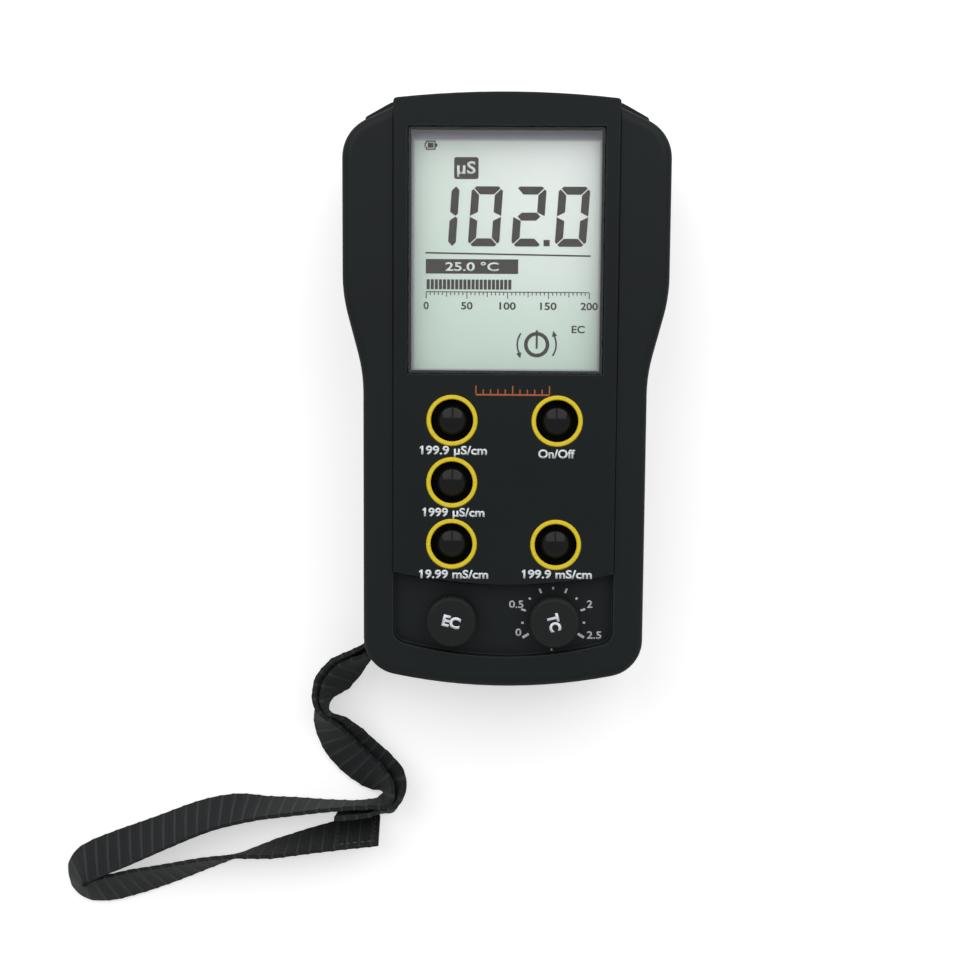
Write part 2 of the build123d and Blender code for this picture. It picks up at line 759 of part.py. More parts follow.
# Socket end cap: sloped shoulders outside the shells, a tube through them
cap_face = Plane.XZ.offset(-cap_top_y)
with BuildPart() as end_cap:
    with BuildSketch(level(cap_bottom_z)) as cap_outline:
        with BuildLine():
            cap_side = Polyline(
                (0, cap_top_y),
                (cap_flat_half, cap_top_y),
                (cap_half, cap_top_y - cap_end_drop),
                (cap_half, hip_y),
                (0, hip_y),
            )
            mirror(cap_side, about=Plane.YZ)
        make_face()
        fillet(corners(cap_outline, cap_half, cap_top_y - cap_end_drop), cap_corner_radius)
        fillet(corners(cap_outline, cap_flat_half, cap_top_y), shoulder_crest_radius)
        offset(case_outline.sketch, slip, mode=Mode.SUBTRACT)
    extrude(amount=cap_top_z - cap_bottom_z)
    with BuildSketch(cap_face):
        with Locations((0, socket_z)):
            Circle(socket_tube_radius)
    extrude(amount=socket_tube_depth)
    with BuildSketch(cap_face):
        with Locations((0, socket_z)):
            Circle(socket_ring_outer + shaft_clearance)
    extrude(amount=socket_tube_depth, mode=Mode.SUBTRACT)
finish(end_cap, "end_cap")

# Round probe socket: bright ring, insulating insert with a ring of contact holes, and contacts
with BuildPart() as socket_ring:
    with BuildSketch(cap_face):
        with Locations((0, socket_z)):
            Circle(socket_ring_outer)
            Circle(socket_ring_inner, mode=Mode.SUBTRACT)
    extrude(amount=socket_well)
finish(socket_ring, "socket_ring")

contact_span = contact_step * (contact_count - 1)
first_contact = -90 - contact_span / 2
insert_face = cap_face.offset(socket_well)
with BuildPart() as socket_insert:
    with BuildSketch(insert_face):
        with Locations((0, socket_z)):
            Circle(socket_ring_outer)
            with PolarLocations(contact_circle, contact_count, first_contact, contact_span, endpoint=True):
                Circle(contact_radius + shaft_clearance, mode=Mode.SUBTRACT)
    extrude(amount=insert_depth)
    with BuildSketch(insert_face):
        with Locations((0, socket_z + socket_ring_inner)):
            Rectangle(key_size, key_size)
    extrude(amount=contact_recess, mode=Mode.SUBTRACT)
finish(socket_insert, "socket_insert")

with BuildPart() as socket_contacts:
    with BuildSketch(insert_face.offset(contact_recess)):
        with Locations((0, socket_z)):
            with PolarLocations(contact_circle, contact_count, first_contact, contact_span, endpoint=True):
                Circle(contact_radius)
    extrude(amount=insert_depth - contact_recess + contact_tail)
finish(socket_contacts, "socket_contacts")

# Nine-volt block battery, its snap terminals, the snap connector and its two leads
battery_y = battery_bottom_y + battery_body / 2
battery_end_y = battery_bottom_y + battery_body
battery_mid_z = battery_bottom_z + battery_height / 2
battery_end = Plane.XZ.offset(-battery_end_y)
with BuildPart() as battery_block:
    with BuildSketch(level(battery_bottom_z)):
        with Locations((0, battery_y)):
            Rectangle(battery_width, battery_body)
    extrude(amount=battery_height)
    fillet(battery_block.edges().filter_by(Axis.Y), battery_edge_radius)
finish(battery_block, "battery_block")

with BuildPart() as battery_terminals:
    with BuildSketch(battery_end):
        with Locations((0, battery_mid_z)):
            with GridLocations(terminal_spacing, 0, 2, 1):
                Circle(terminal_radius)
    extrude(amount=-terminal_height)
finish(battery_terminals, "battery_terminals")

snap_end = battery_end.offset(-terminal_height)
with BuildPart() as battery_snap:
    with BuildSketch(snap_end):
        with Locations((0, battery_mid_z)):
            RectangleRounded(snap_width, snap_height, snap_corner)
    extrude(amount=-snap_thickness)
finish(battery_snap, "battery_snap")

lead_start_y = battery_end_y + terminal_height + snap_thickness
with BuildPart() as battery_leads:
    for side in (-1, 1):
        lead_x = side * terminal_radius / 2
        with BuildLine() as lead_line:
            FilletPolyline(
                (lead_x, lead_start_y, battery_mid_z),
                (lead_x, lead_start_y + lead_run, battery_mid_z),
                (lead_x, lead_start_y + lead_run, board_bottom_z),
                radius=lead_bend,
            )
        with BuildSketch(Plane(lead_line.line @ 0, z_dir=lead_line.line % 0)):
            Circle(lead_radius)
        sweep()
finish(battery_leads, "battery_leads")

# Steel bar across the strap pocket
with BuildPart() as strap_bar:
    with BuildSketch(level(lug_bottom_z - lug_wall / 2)):
        with Locations(bar_place):
            Circle(strap_bar_radius)
    extrude(amount=lug_height + lug_wall)
finish(strap_bar, "strap_bar")

# Wrist strap: flat webbing on edge, from the bar to the stitching and once round the hand loop
bar_x, bar_y = bar_place
bar_wrap = strap_bar_radius + strap_thickness / 2 + shaft_clearance
across = Vector(-lug_out.Y, lug_out.X)
pocket_z = lug_bottom_z + lug_height / 2


def beside_bar(side, outward):
    """Point of the webbing's middle line beside the bar, in its own directions."""
    place = across * (side * bar_wrap) + lug_out * outward
    return (bar_x + place.X, bar_y + place.Y, pocket_z)


loop_route = [
    beside_bar(1, 0),
    beside_bar(1, lug_bar_inset),
    (-36.3, -70.6, 8.3),
    (-40.9, -74.6, 7.3),
    (-44.8, -79.2, 6.7),
    (-46.2, -84.4, 6.4),
    (-44.1, -89.5, 6.2),
    (-39.1, -94.9, 6.2),
    (-33.3, -99.9, 6.2),
    (-28.9, -104.8, 6.2),
    (-27.4, -109.3, 6.2),
    (-31.2, -112.0, 6.2),
    (-38.4, -112.6, 6.2),
    (-48.0, -112.8, 6.2),
    (-59.0, -113.4, 6.2),
    (-71.0, -115.2, 6.2),
    (-83.0, -119.3, 6.2),
    (-95.5, -124.9, 6.2),
    (-107.0, -129.6, 6.2),
    (-113.6, -131.9, 6.2),
    (-116.2, -135.3, 6.2),
    (-113.8, -138.9, 6.2),
    (-107.2, -138.2, 6.2),
    (-97.0, -134.5, 6.2),
    (-85.0, -130.4, 6.2),
    (-72.0, -127.2, 6.2),
    (-58.5, -123.5, 6.2),
    (-46.5, -119.6, 6.2),
    (-37.5, -116.9, 6.2),
    (-31.6, -115.6, 6.2),
]

# Second layer of the webbing, from the stitching back round the bar
fold_route = [
    beside_bar(1, 0),
    beside_bar(1, -bar_wrap),
    beside_bar(-1, -bar_wrap),
    beside_bar(-1.1, lug_bar_inset),
    (-37.2, -68.9, 8.3),
    (-42.2, -73.3, 7.3),
    (-46.3, -78.5, 6.7),
    (-47.9, -84.4, 6.4),
    (-45.5, -90.4, 6.2),
    (-40.3, -96.1, 6.2),
    (-34.8, -101.2, 6.2),
    (-31.4, -104.9, 6.2),
    (-31.0, -108.0, 6.2),
]


def bend_radii(route, tight):
    """Radius at each inner point: as large as its two runs allow, except where it hugs the bar."""
    radii = []
    for before, here, after in zip(route, route[1:], route[2:]):
        way_in = Vector(*here) - Vector(*before)
        way_out = Vector(*after) - Vector(*here)
        turn = radians(way_in.get_angle(way_out))
        radii.append(0.45 * min(way_in.length, way_out.length) / tan(turn / 2))
    radii[: len(tight)] = tight
    return radii


for name, route, tight in (
    ("wrist_strap", loop_route, []),
    ("strap_fold", fold_route, [bar_wrap - shaft_clearance, bar_wrap - shaft_clearance]),
):
    radii = bend_radii(route, tight)
    with BuildPart() as strap:
        with BuildLine() as strap_line:
            FilletPolyline(*route, radius=radii)
        start_way = strap_line.line % 0
        start_plane = Plane(strap_line.line @ 0, x_dir=Vector(0, 0, 1).cross(start_way), z_dir=start_way)
        with BuildSketch(start_plane):
            Rectangle(strap_thickness, strap_width)
        sweep()
    finish(strap, name)
    length = sum(edge.length for edge in strap_line.edges())
    share = strap.part.volume / (strap_thickness * strap_width * length)
    print(name, "length", round(length, 1), "volume share", round(share, 4))
    print(name, "radii", [round(radius, 1) for radius in radii])
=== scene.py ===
import math

import bpy
from mathutils import Matrix, Vector


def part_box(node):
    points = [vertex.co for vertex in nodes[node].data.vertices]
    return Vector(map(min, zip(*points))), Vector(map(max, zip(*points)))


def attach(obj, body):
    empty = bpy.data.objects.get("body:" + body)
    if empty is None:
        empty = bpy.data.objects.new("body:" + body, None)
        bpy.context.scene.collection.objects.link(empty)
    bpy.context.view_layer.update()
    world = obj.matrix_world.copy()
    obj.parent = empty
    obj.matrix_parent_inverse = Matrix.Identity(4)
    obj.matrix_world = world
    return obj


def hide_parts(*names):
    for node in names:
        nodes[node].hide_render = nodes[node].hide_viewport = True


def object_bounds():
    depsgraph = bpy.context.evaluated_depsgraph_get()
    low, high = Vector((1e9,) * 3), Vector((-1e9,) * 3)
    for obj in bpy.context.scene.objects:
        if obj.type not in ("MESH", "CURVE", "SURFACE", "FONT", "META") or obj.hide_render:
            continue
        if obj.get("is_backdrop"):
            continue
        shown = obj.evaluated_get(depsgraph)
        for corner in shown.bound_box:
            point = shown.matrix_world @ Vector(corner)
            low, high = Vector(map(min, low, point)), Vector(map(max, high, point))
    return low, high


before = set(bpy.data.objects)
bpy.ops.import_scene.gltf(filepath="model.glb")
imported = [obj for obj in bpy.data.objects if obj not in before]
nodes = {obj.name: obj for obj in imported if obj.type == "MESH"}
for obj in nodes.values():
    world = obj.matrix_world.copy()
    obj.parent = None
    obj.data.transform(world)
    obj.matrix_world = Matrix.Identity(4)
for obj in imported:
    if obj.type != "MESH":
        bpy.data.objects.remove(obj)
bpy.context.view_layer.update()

# Camera: looks down on the meter that lies on the table, turned a little towards the socket end.
# A lens of about 54 mm stands 365 mm from the middle of the view. Angles are in radians.
view_target = Vector((-0.006136, -0.021843, 0.018))
view_distance = 0.365
view_pitch = 0.10415
view_yaw = 0.017198
view_roll = 0.006624
lens_length = 53.71
near_limit = 0.01

view_back = Vector((math.sin(view_yaw), math.sin(view_pitch) * math.cos(view_yaw),
                    math.cos(view_pitch) * math.cos(view_yaw)))
level_right = (-view_back).cross(Vector((0, 1, 0))).normalized()
level_up = level_right.cross(-view_back)
view_right = math.cos(view_roll) * level_right + math.sin(view_roll) * level_up
view_up = math.cos(view_roll) * level_up - math.sin(view_roll) * level_right
bpy.ops.object.camera_add()
camera = bpy.context.object
camera.name = "photo_camera"
camera.matrix_world = Matrix.Translation(view_target + view_distance * view_back) @ Matrix(
    (view_right, view_up, view_back)).transposed().to_4x4()
camera.data.sensor_width = 36.0
camera.data.lens = lens_length
camera.data.clip_start = near_limit
bpy.context.scene.camera = camera

# Wrist strap: black woven nylon webbing, 12 mm wide. Two layers run from the steel bar in the heel
# corner to the stitching, and one layer makes the hand loop. It lies on the table and leans as it goes.
strap_width = 0.012
strap_thickness = 0.0011
strap_step = 0.0003
strap_rows = 16
rib_pitch = 0.00335
rib_height = 0.00013
rib_slant = 0.0012
rib_share = 0.13
rib_bulge = 0.004
edge_wander = 0.012
wander_per_step = 0.031
weave_pitch = 0.00034575
table_zone = 0.0065
table_gap = 0.0001
fold_angle = math.radians(50)

# Places of the middle line in metres, and how far the upper edge leans to the left of the way, in degrees
loop_route = [
    (-0.03003, -0.06595, 0.0089, 0), (-0.02873, -0.06493, 0.0089, 0), (-0.03077, -0.06234, 0.0089, 0),
    (-0.03406, -0.06470, 0.0089, 0), (-0.0378, -0.0687, 0.0083, -16), (-0.0428, -0.0729, 0.0073, -34),
    (-0.0462, -0.0769, 0.0067, -34), (-0.0488, -0.0817, 0.0064, -12), (-0.0491, -0.0856, 0.0062, 14),
    (-0.0475, -0.0896, 0.0062, 38), (-0.0440, -0.0957, 0.0062, 55), (-0.0396, -0.1004, 0.0062, 57),
    (-0.0352, -0.1036, 0.0062, 53), (-0.0315, -0.1064, 0.0062, 36), (-0.0304, -0.1094, 0.0062, 8),
    (-0.0338, -0.1112, 0.0062, -9), (-0.0400, -0.1117, 0.0062, -11), (-0.0480, -0.1120, 0.0062, -6),
    (-0.0570, -0.1123, 0.0062, 2), (-0.0640, -0.1127, 0.0062, 8), (-0.0720, -0.1131, 0.0062, 22),
    (-0.0808, -0.1153, 0.0062, 28), (-0.0920, -0.1201, 0.0062, 32), (-0.1035, -0.1250, 0.0062, 40),
    (-0.1110, -0.1280, 0.0062, 40), (-0.1154, -0.1305, 0.0062, 36), (-0.1158, -0.1346, 0.0062, 34),
    (-0.1132, -0.1373, 0.0062, 42), (-0.1070, -0.1364, 0.0062, 50), (-0.0990, -0.1341, 0.0062, 47),
    (-0.0900, -0.1315, 0.0062, 38), (-0.0800, -0.1282, 0.0062, 28), (-0.0715, -0.1260, 0.0062, 17),
    (-0.0610, -0.1239, 0.0062, -2), (-0.0530, -0.1219, 0.0062, -10), (-0.0455, -0.1203, 0.0062, -17),
    (-0.0390, -0.1192, 0.0062, -20), (-0.0330, -0.1185, 0.0062, -20),
]
fold_route = [
    (-0.03003, -0.06595, 0.0089, 0), (-0.03193, -0.06743, 0.0089, 0), (-0.0366, -0.0704, 0.0083, -16),
    (-0.0412, -0.0743, 0.0073, -34), (-0.0444, -0.0782, 0.0067, -34), (-0.0468, -0.0823, 0.0064, -12),
    (-0.0470, -0.0855, 0.0062, 14), (-0.0452, -0.0888, 0.0062, 42), (-0.0416, -0.0942, 0.0062, 62),
    (-0.0376, -0.0983, 0.0062, 65), (-0.0337, -0.1012, 0.0062, 62), (-0.0297, -0.1040, 0.0062, 50),
    (-0.0281, -0.1073, 0.0062, 22), (-0.0284, -0.1108, 0.0062, -8), (-0.0308, -0.1131, 0.0062, -24),
    (-0.0346, -0.1139, 0.0062, -14), (-0.0395, -0.1143, 0.0062, -10), (-0.0445, -0.1144, 0.0062, -8),
]


def cord_line(name, route):
    """Points and leans, evenly spaced, read from the smooth line through a route's control points."""
    data = bpy.data.curves.new(name, "CURVE")
    data.dimensions = "3D"
    data.resolution_u = 32
    spline = data.splines.new("NURBS")
    spline.points.add(len(route) - 1)
    for point, (x, y, z, lean) in zip(spline.points, route):
        point.co = (x, y, z, 1)
    spline.order_u = 3
    spline.use_endpoint_u = True
    line = bpy.data.objects.new(name, data)
    bpy.context.scene.collection.objects.link(line)
    mesh = bpy.data.meshes.new_from_object(line)
    places = [v.co.copy() for v in mesh.vertices]
    bpy.data.objects.remove(line)
    spans = len(route) - 2
    at = [0] + [i - 0.5 for i in range(1, len(route) - 1)] + [spans]
    leans = []
    for k in range(len(places)):
        t = k * spans / (len(places) - 1)
        i = max(j for j in range(len(at) - 1) if at[j] <= t)
        share = (t - at[i]) / (at[i + 1] - at[i])
        leans.append(route[i][3] + share * (route[i + 1][3] - route[i][3]))
    run = [0.0]
    for a, b in zip(places, places[1:]):
        run.append(run[-1] + (b - a).length)
    count = round(run[-1] / strap_step)
    even, i = [], 0
    for k in range(count + 1):
        d = run[-1] * k / count
        while i < len(run) - 2 and run[i + 1] < d:
            i += 1
        share = (d - run[i]) / (run[i + 1] - run[i])
        lean = leans[i] + share * (leans[i + 1] - leans[i])
        even.append((places[i].lerp(places[i + 1], share), math.radians(lean)))
    return even, run[-1]


def webbing_frame(line, k):
    """Middle, direction across the width and face direction of the webbing at one point of its line."""
    place, lean = line[k]
    way = (line[min(k + 1, len(line) - 1)][0] - line[max(k - 1, 0)][0]).normalized()
    side = Vector((0, 0, 1)).cross(way).normalized()
    across = (math.cos(lean) * Vector((0, 0, 1)) + math.sin(lean) * side).normalized()
    rest = strap_width / 2 * math.cos(lean) + strap_thickness / 2 * abs(math.sin(lean)) + table_gap
    height = rest if place.z < table_zone else max(place.z, rest)
    return Vector((place.x, place.y, height)), across, way.cross(across)


def webbing(name, line):
    """Ribbed ribbon along a line: a grid laid along it and thickened, with its size in metres as UV."""
    bpy.ops.object.select_all(action="DESELECT")
    bpy.ops.mesh.primitive_grid_add(x_subdivisions=len(line) - 1, y_subdivisions=strap_rows, size=1)
    ribbon = bpy.context.object
    ribbon.name = name
    for v in ribbon.data.vertices:
        k = round((v.co.x + 0.5) * (len(line) - 1))
        t = v.co.y
        middle, across, face = webbing_frame(line, k)
        phase = (k * strap_step + rib_slant * t) / rib_pitch % 1.0
        rib = math.exp(-((min(phase, 1 - phase) / rib_share) ** 2))
        edge = 1 + rib_bulge * rib - edge_wander * math.sin(k * wander_per_step) ** 2
        v.co = middle + across * (t * strap_width * edge) + face * (rib * rib_height)
    for corner in ribbon.data.uv_layers.active.data:
        corner.uv = (corner.uv.x * (len(line) - 1) * strap_step, corner.uv.y * strap_width)
    solid = ribbon.modifiers.new("Thickness", "SOLIDIFY")
    solid.thickness = strap_thickness
    solid.offset = 0
    bpy.ops.object.modifier_apply(modifier=solid.name)
    bpy.ops.object.shade_smooth_by_angle(angle=fold_angle)
    return ribbon


loop_line, loop_length = cord_line("loop_way", loop_route)
fold_line, fold_length = cord_line("fold_way", fold_route)
wrist_webbing = webbing("wrist_webbing", loop_line)
fold_webbing = webbing("fold_webbing", fold_line)


def add_node(tree, kind, settings=None, inputs=None):
    """One node of a material or group: settings are its options, inputs are values or sockets."""
    made = tree.nodes.new(kind)
    for name, value in (settings or {}).items():
        setattr(made, name, value)
    for name, value in (inputs or {}).items():
        if isinstance(value, bpy.types.NodeSocket):
            tree.links.new(value, made.inputs[name])
        else:
            made.inputs[name].default_value = value
    return made


def sum_up(tree, operation, a, b, clamp=False):
    """Result of a sum of two numbers or sockets."""
    settings = {"operation": operation, "use_clamp": clamp}
    return add_node(tree, "ShaderNodeMath", settings, {0: a, 1: b}).outputs[0]


def scaled(tree, value, factor, offset):
    """Socket times a factor, plus an offset."""
    inputs = {0: value, 1: factor, 2: offset}
    return add_node(tree, "ShaderNodeMath", {"operation": "MULTIPLY_ADD"}, inputs).outputs[0]


def largest(tree, first, *others):
    """Largest of several sockets."""
    for other in others:
        first = sum_up(tree, "MAXIMUM", first, other)
    return first


def ridges(tree, value, pitch, steepness):
    """Narrow ridges, 1 at every pitch along the value and 0 between them."""
    phase = sum_up(tree, "FRACT", sum_up(tree, "DIVIDE", value, pitch), 0)
    to_next = sum_up(tree, "MINIMUM", phase, sum_up(tree, "SUBTRACT", 1, phase))
    return sum_up(tree, "SUBTRACT", 1, sum_up(tree, "MULTIPLY", to_next, steepness), clamp=True)


def blend_of(tree, share, a, b):
    """Colour a where share is 0 and b where it is 1."""
    return add_node(tree, "ShaderNodeMix", {"data_type": "RGBA"}, {0: share, 6: a, 7: b}).outputs[2]


def object_place(tree):
    """Place on the object, in its own metres."""
    return add_node(tree, "ShaderNodeTexCoord").outputs["Object"]


def noise_at(tree, where, scale, detail=2.0):
    """Noise between 0 and 1."""
    inputs = {"Vector": where, "Scale": scale, "Detail": detail}
    return add_node(tree, "ShaderNodeTexNoise", inputs=inputs).outputs["Fac"]


def bump_of(tree, height, strength, distance):
    """Normal of a surface that is raised by a height socket."""
    inputs = {"Height": height, "Strength": strength, "Distance": distance}
    return add_node(tree, "ShaderNodeBump", inputs=inputs).outputs["Normal"]


def linear(red, green, blue):
    """Colour for a shader from 0 to 255 values as a screen shows them."""
    parts = [c / 255 for c in (red, green, blue)]
    return (*[c / 12.92 if c <= 0.04045 else ((c + 0.055) / 1.055) ** 2.4 for c in parts], 1.0)


def new_material(name):
    """Empty material with its shader and output linked."""
    made = bpy.data.materials.new(name)
    made.use_nodes = True
    return made, made.node_tree, made.node_tree.nodes["Principled BSDF"]


def new_group(name, takes, gives):
    """Empty node group with its inputs and outputs: each is a name, a socket kind and a value."""
    group = bpy.data.node_groups.new(name, "ShaderNodeTree")
    for label, kind, value in takes:
        socket = group.interface.new_socket(label, in_out="INPUT", socket_type=kind)
        if value is not None:
            socket.default_value = value
    for label, kind in gives:
        group.interface.new_socket(label, in_out="OUTPUT", socket_type=kind)
    return group, group.nodes.new("NodeGroupInput"), group.nodes.new("NodeGroupOutput")


def speckled(name, dark, pale, fineness, roughness, gloss=0.5):
    """Plain material whose colour varies finely between two tones."""
    made, tree, shader = new_material(name)
    tree.links.new(blend_of(tree, noise_at(tree, object_place(tree), fineness), dark, pale),
                   shader.inputs["Base Color"])
    shader.inputs["Roughness"].default_value = roughness
    shader.inputs["Specular IOR Level"].default_value = gloss
    return made


def dress(material, *names):
    """Gives CAD nodes their finish."""
    for name in names:
        for place in nodes[name].material_slots:
            place.material = material


# The webbing's finish: warp cords along it, fine weft across, and light ribs, whose light colour is a
# painted highlight. It is dull nylon, nearly black between the ribs. A wave texture of scale 1 has its
# bands pi / 10 apart.
weave_scale = math.pi / 10 / weave_pitch
webbing_black, tree, shader = new_material("webbing_black")
flat = add_node(tree, "ShaderNodeUVMap").outputs["UV"]
cords = add_node(tree, "ShaderNodeTexWave", {"bands_direction": "Y"},
                 {"Vector": flat, "Scale": weave_scale, "Distortion": 0.4})
weft = add_node(tree, "ShaderNodeTexWave", {"bands_direction": "X"},
                {"Vector": flat, "Scale": weave_scale, "Distortion": 0.3})
fuzz = noise_at(tree, flat, 2600.0, 5.0)
weave = sum_up(tree, "MULTIPLY", cords.outputs["Fac"], weft.outputs["Fac"])
weave = sum_up(tree, "ADD", weave, sum_up(tree, "MULTIPLY", fuzz, 0.35))
along = add_node(tree, "ShaderNodeSeparateXYZ", inputs={0: flat}).outputs["X"]
# The light lines on the ribs, coarse and fine, are painted highlights.
rib = sum_up(tree, "MULTIPLY", ridges(tree, along, rib_pitch, 6.0), 0.6)
small_rib_highlight = sum_up(tree, "MULTIPLY", ridges(tree, along, rib_pitch / 3, 4.0), 0.12)
weave_and_rib_highlight = sum_up(tree, "ADD", rib, sum_up(tree, "MULTIPLY", weave, 0.28), clamp=True)
weave_and_rib_highlight = sum_up(tree, "ADD", weave_and_rib_highlight, small_rib_highlight, clamp=True)
tree.links.new(blend_of(tree, weave_and_rib_highlight, linear(6, 8, 9), linear(52, 55, 57)), shader.inputs["Base Color"])
tree.links.new(bump_of(tree, weave, 0.6, 0.00018), shader.inputs["Normal"])
shader.inputs["Roughness"].default_value = 0.66
shader.inputs["Specular IOR Level"].default_value = 0.15
shader.inputs["Sheen Weight"].default_value = 0.06
shader.inputs["Sheen Roughness"].default_value = 0.5
for ribbon in (wrist_webbing, fold_webbing):
    ribbon.data.materials.append(webbing_black)
    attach(ribbon, "case")
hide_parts("wrist_strap")
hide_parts("strap_fold")

# Stitching of the strap: black thread sewn through the end of the loop, in two rows across it and one
# along each edge. Each stitch shows as a short raised bead on both faces.
stitch_length = 0.0014
stitch_radius = 0.00022
stitch_pitch = 0.0019
stitch_rise = 0.00008
first_row, second_row = 0.0012, 0.0112
edge_start = 0.0024
end = len(loop_line) - 1
bpy.ops.object.select_all(action="DESELECT")
bpy.ops.mesh.primitive_uv_sphere_add(segments=8, ring_count=6, radius=1)
stitch_shape = bpy.context.object
stitches = []
rows = [(end - round(row / strap_step), t, True) for row in (first_row, second_row)
        for t in (-0.4, -0.24, -0.08, 0.08, 0.24, 0.4)]
rows += [(end - round((edge_start + stitch_pitch * i) / strap_step), t, False) for i in range(5)
         for t in (-0.42, 0.42)]
for k, t, crosswise in rows:
    middle, across, face = webbing_frame(loop_line, k)
    way = across.cross(face)
    longest = across if crosswise else way
    other = way if crosswise else across
    for outward in (-1, 1):
        piece = stitch_shape.copy()
        piece.data = stitch_shape.data.copy()
        bpy.context.scene.collection.objects.link(piece)
        place = middle + across * (t * strap_width) + face * (outward * (strap_thickness / 2 + stitch_rise))
        axes = Matrix((longest * stitch_length / 2, other * stitch_radius, face * stitch_radius))
        piece.data.transform(Matrix.Translation(place) @ axes.transposed().to_4x4())
        stitches.append(piece)
bpy.data.objects.remove(stitch_shape)
bpy.ops.object.select_all(action="DESELECT")
for piece in stitches:
    piece.select_set(True)
bpy.context.view_layer.objects.active = stitches[0]
bpy.ops.object.join()
strap_stitching = bpy.context.object
strap_stitching.name = "strap_stitching"
bpy.ops.object.mode_set(mode="EDIT")
bpy.ops.mesh.select_all(action="SELECT")
bpy.ops.mesh.normals_make_consistent(inside=False)
bpy.ops.object.mode_set(mode="OBJECT")
bpy.ops.object.shade_smooth()
thread_black = speckled("thread_black", linear(14, 15, 16), linear(62, 64, 65), 5200.0, 0.5)
strap_stitching.data.materials.append(thread_black)
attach(strap_stitching, "case")

# Case halves, end cap and battery cover: black ABS, moulded with a fine satin grain that is rubbed
# smooth along its edges. The edges are paler, partly from wear and partly as a painted highlight on the
# rims.
grain_group, takes, gives = new_group(
    "moulded_grain", [("Vector", "NodeSocketVector", None), ("Fineness", "NodeSocketFloat", 3200.0)],
    [("Height", "NodeSocketFloat"), ("Cloud", "NodeSocketFloat")])
where, fineness = takes.outputs["Vector"], takes.outputs["Fineness"]
pits = add_node(grain_group, "ShaderNodeTexVoronoi", {"feature": "SMOOTH_F1"},
                {"Vector": where, "Scale": fineness})
sand = noise_at(grain_group, where, sum_up(grain_group, "MULTIPLY", fineness, 0.6), 3.0)
grain_group.links.new(sum_up(grain_group, "ADD", pits.outputs["Distance"], sand), gives.inputs["Height"])
grain_group.links.new(noise_at(grain_group, where, 26.0, 3.0), gives.inputs["Cloud"])

# Mask of the edges, which are paler partly from wear and partly as a painted highlight on the rounded rims.
wear_and_highlight_group, takes, gives = new_group(
    "edge_wear_and_highlight", [("Reach", "NodeSocketFloat", 0.0006), ("Sharpness", "NodeSocketFloat", 9.0)],
    [("Mask", "NodeSocketFloat")])
eased = add_node(wear_and_highlight_group, "ShaderNodeBevel", {"samples": 6}, {"Radius": takes.outputs["Reach"]})
facing = add_node(wear_and_highlight_group, "ShaderNodeNewGeometry")
agree = add_node(wear_and_highlight_group, "ShaderNodeVectorMath", {"operation": "DOT_PRODUCT"},
                 {0: eased.outputs["Normal"], 1: facing.outputs["Normal"]})
unlike = sum_up(wear_and_highlight_group, "SUBTRACT", 1, agree.outputs["Value"])
wear_and_highlight_group.links.new(sum_up(wear_and_highlight_group, "MULTIPLY", unlike, takes.outputs["Sharpness"], clamp=True),
                    gives.inputs["Mask"])


def moulded(name, dark, pale, roughness=0.46, fineness=3200.0, depth=0.00002, wear_and_highlight_reach=0.0006, gloss=0.12):
    """Moulded plastic: dark is its own colour, pale the colour of its edges, partly wear and partly a
    painted highlight.
    """
    made, tree, shader = new_material(name)
    grain = add_node(tree, "ShaderNodeGroup", {"node_tree": grain_group},
                     {"Vector": object_place(tree), "Fineness": fineness})
    cloud = grain.outputs["Cloud"]
    wear_and_highlight_mask = add_node(tree, "ShaderNodeGroup", {"node_tree": wear_and_highlight_group}, {"Reach": wear_and_highlight_reach}).outputs["Mask"]
    darker, lighter = [tuple(share * c for c in dark[:3]) + (1,) for share in (0.8, 1.2)]
    cloudy = blend_of(tree, cloud, darker, lighter)
    # The edges blend to the pale colour: partly wear, partly a painted highlight on the rims.
    tree.links.new(blend_of(tree, sum_up(tree, "MULTIPLY", wear_and_highlight_mask, cloud), cloudy, pale),
                   shader.inputs["Base Color"])
    uneven = scaled(tree, cloud, 0.08, roughness - 0.04)
    tree.links.new(sum_up(tree, "SUBTRACT", uneven, sum_up(tree, "MULTIPLY", wear_and_highlight_mask, 0.1)),
                   shader.inputs["Roughness"])
    soft_edge = add_node(tree, "ShaderNodeBevel", {"samples": 6}, {"Radius": wear_and_highlight_reach / 2})
    bump = add_node(tree, "ShaderNodeBump", inputs={
        "Height": grain.outputs["Height"], "Strength": 0.5, "Distance": depth,
        "Normal": soft_edge.outputs["Normal"]})
    tree.links.new(bump.outputs["Normal"], shader.inputs["Normal"])
    shader.inputs["Specular IOR Level"].default_value = gloss
    return made


case_black = moulded("case_black", linear(20, 24, 25), linear(52, 56, 57))
dress(case_black, "front_shell", "rear_shell", "end_cap", "battery_cover")

# Front panel: a separate plate of black ABS with a hood over the socket end, snapped into the front
# shell. It is moulded a shade finer and darker than the case.
panel_black = moulded("panel_black", linear(16, 21, 22), linear(50, 54, 55), roughness=0.42,
                      fineness=4200.0)
dress(panel_black, "front_panel")

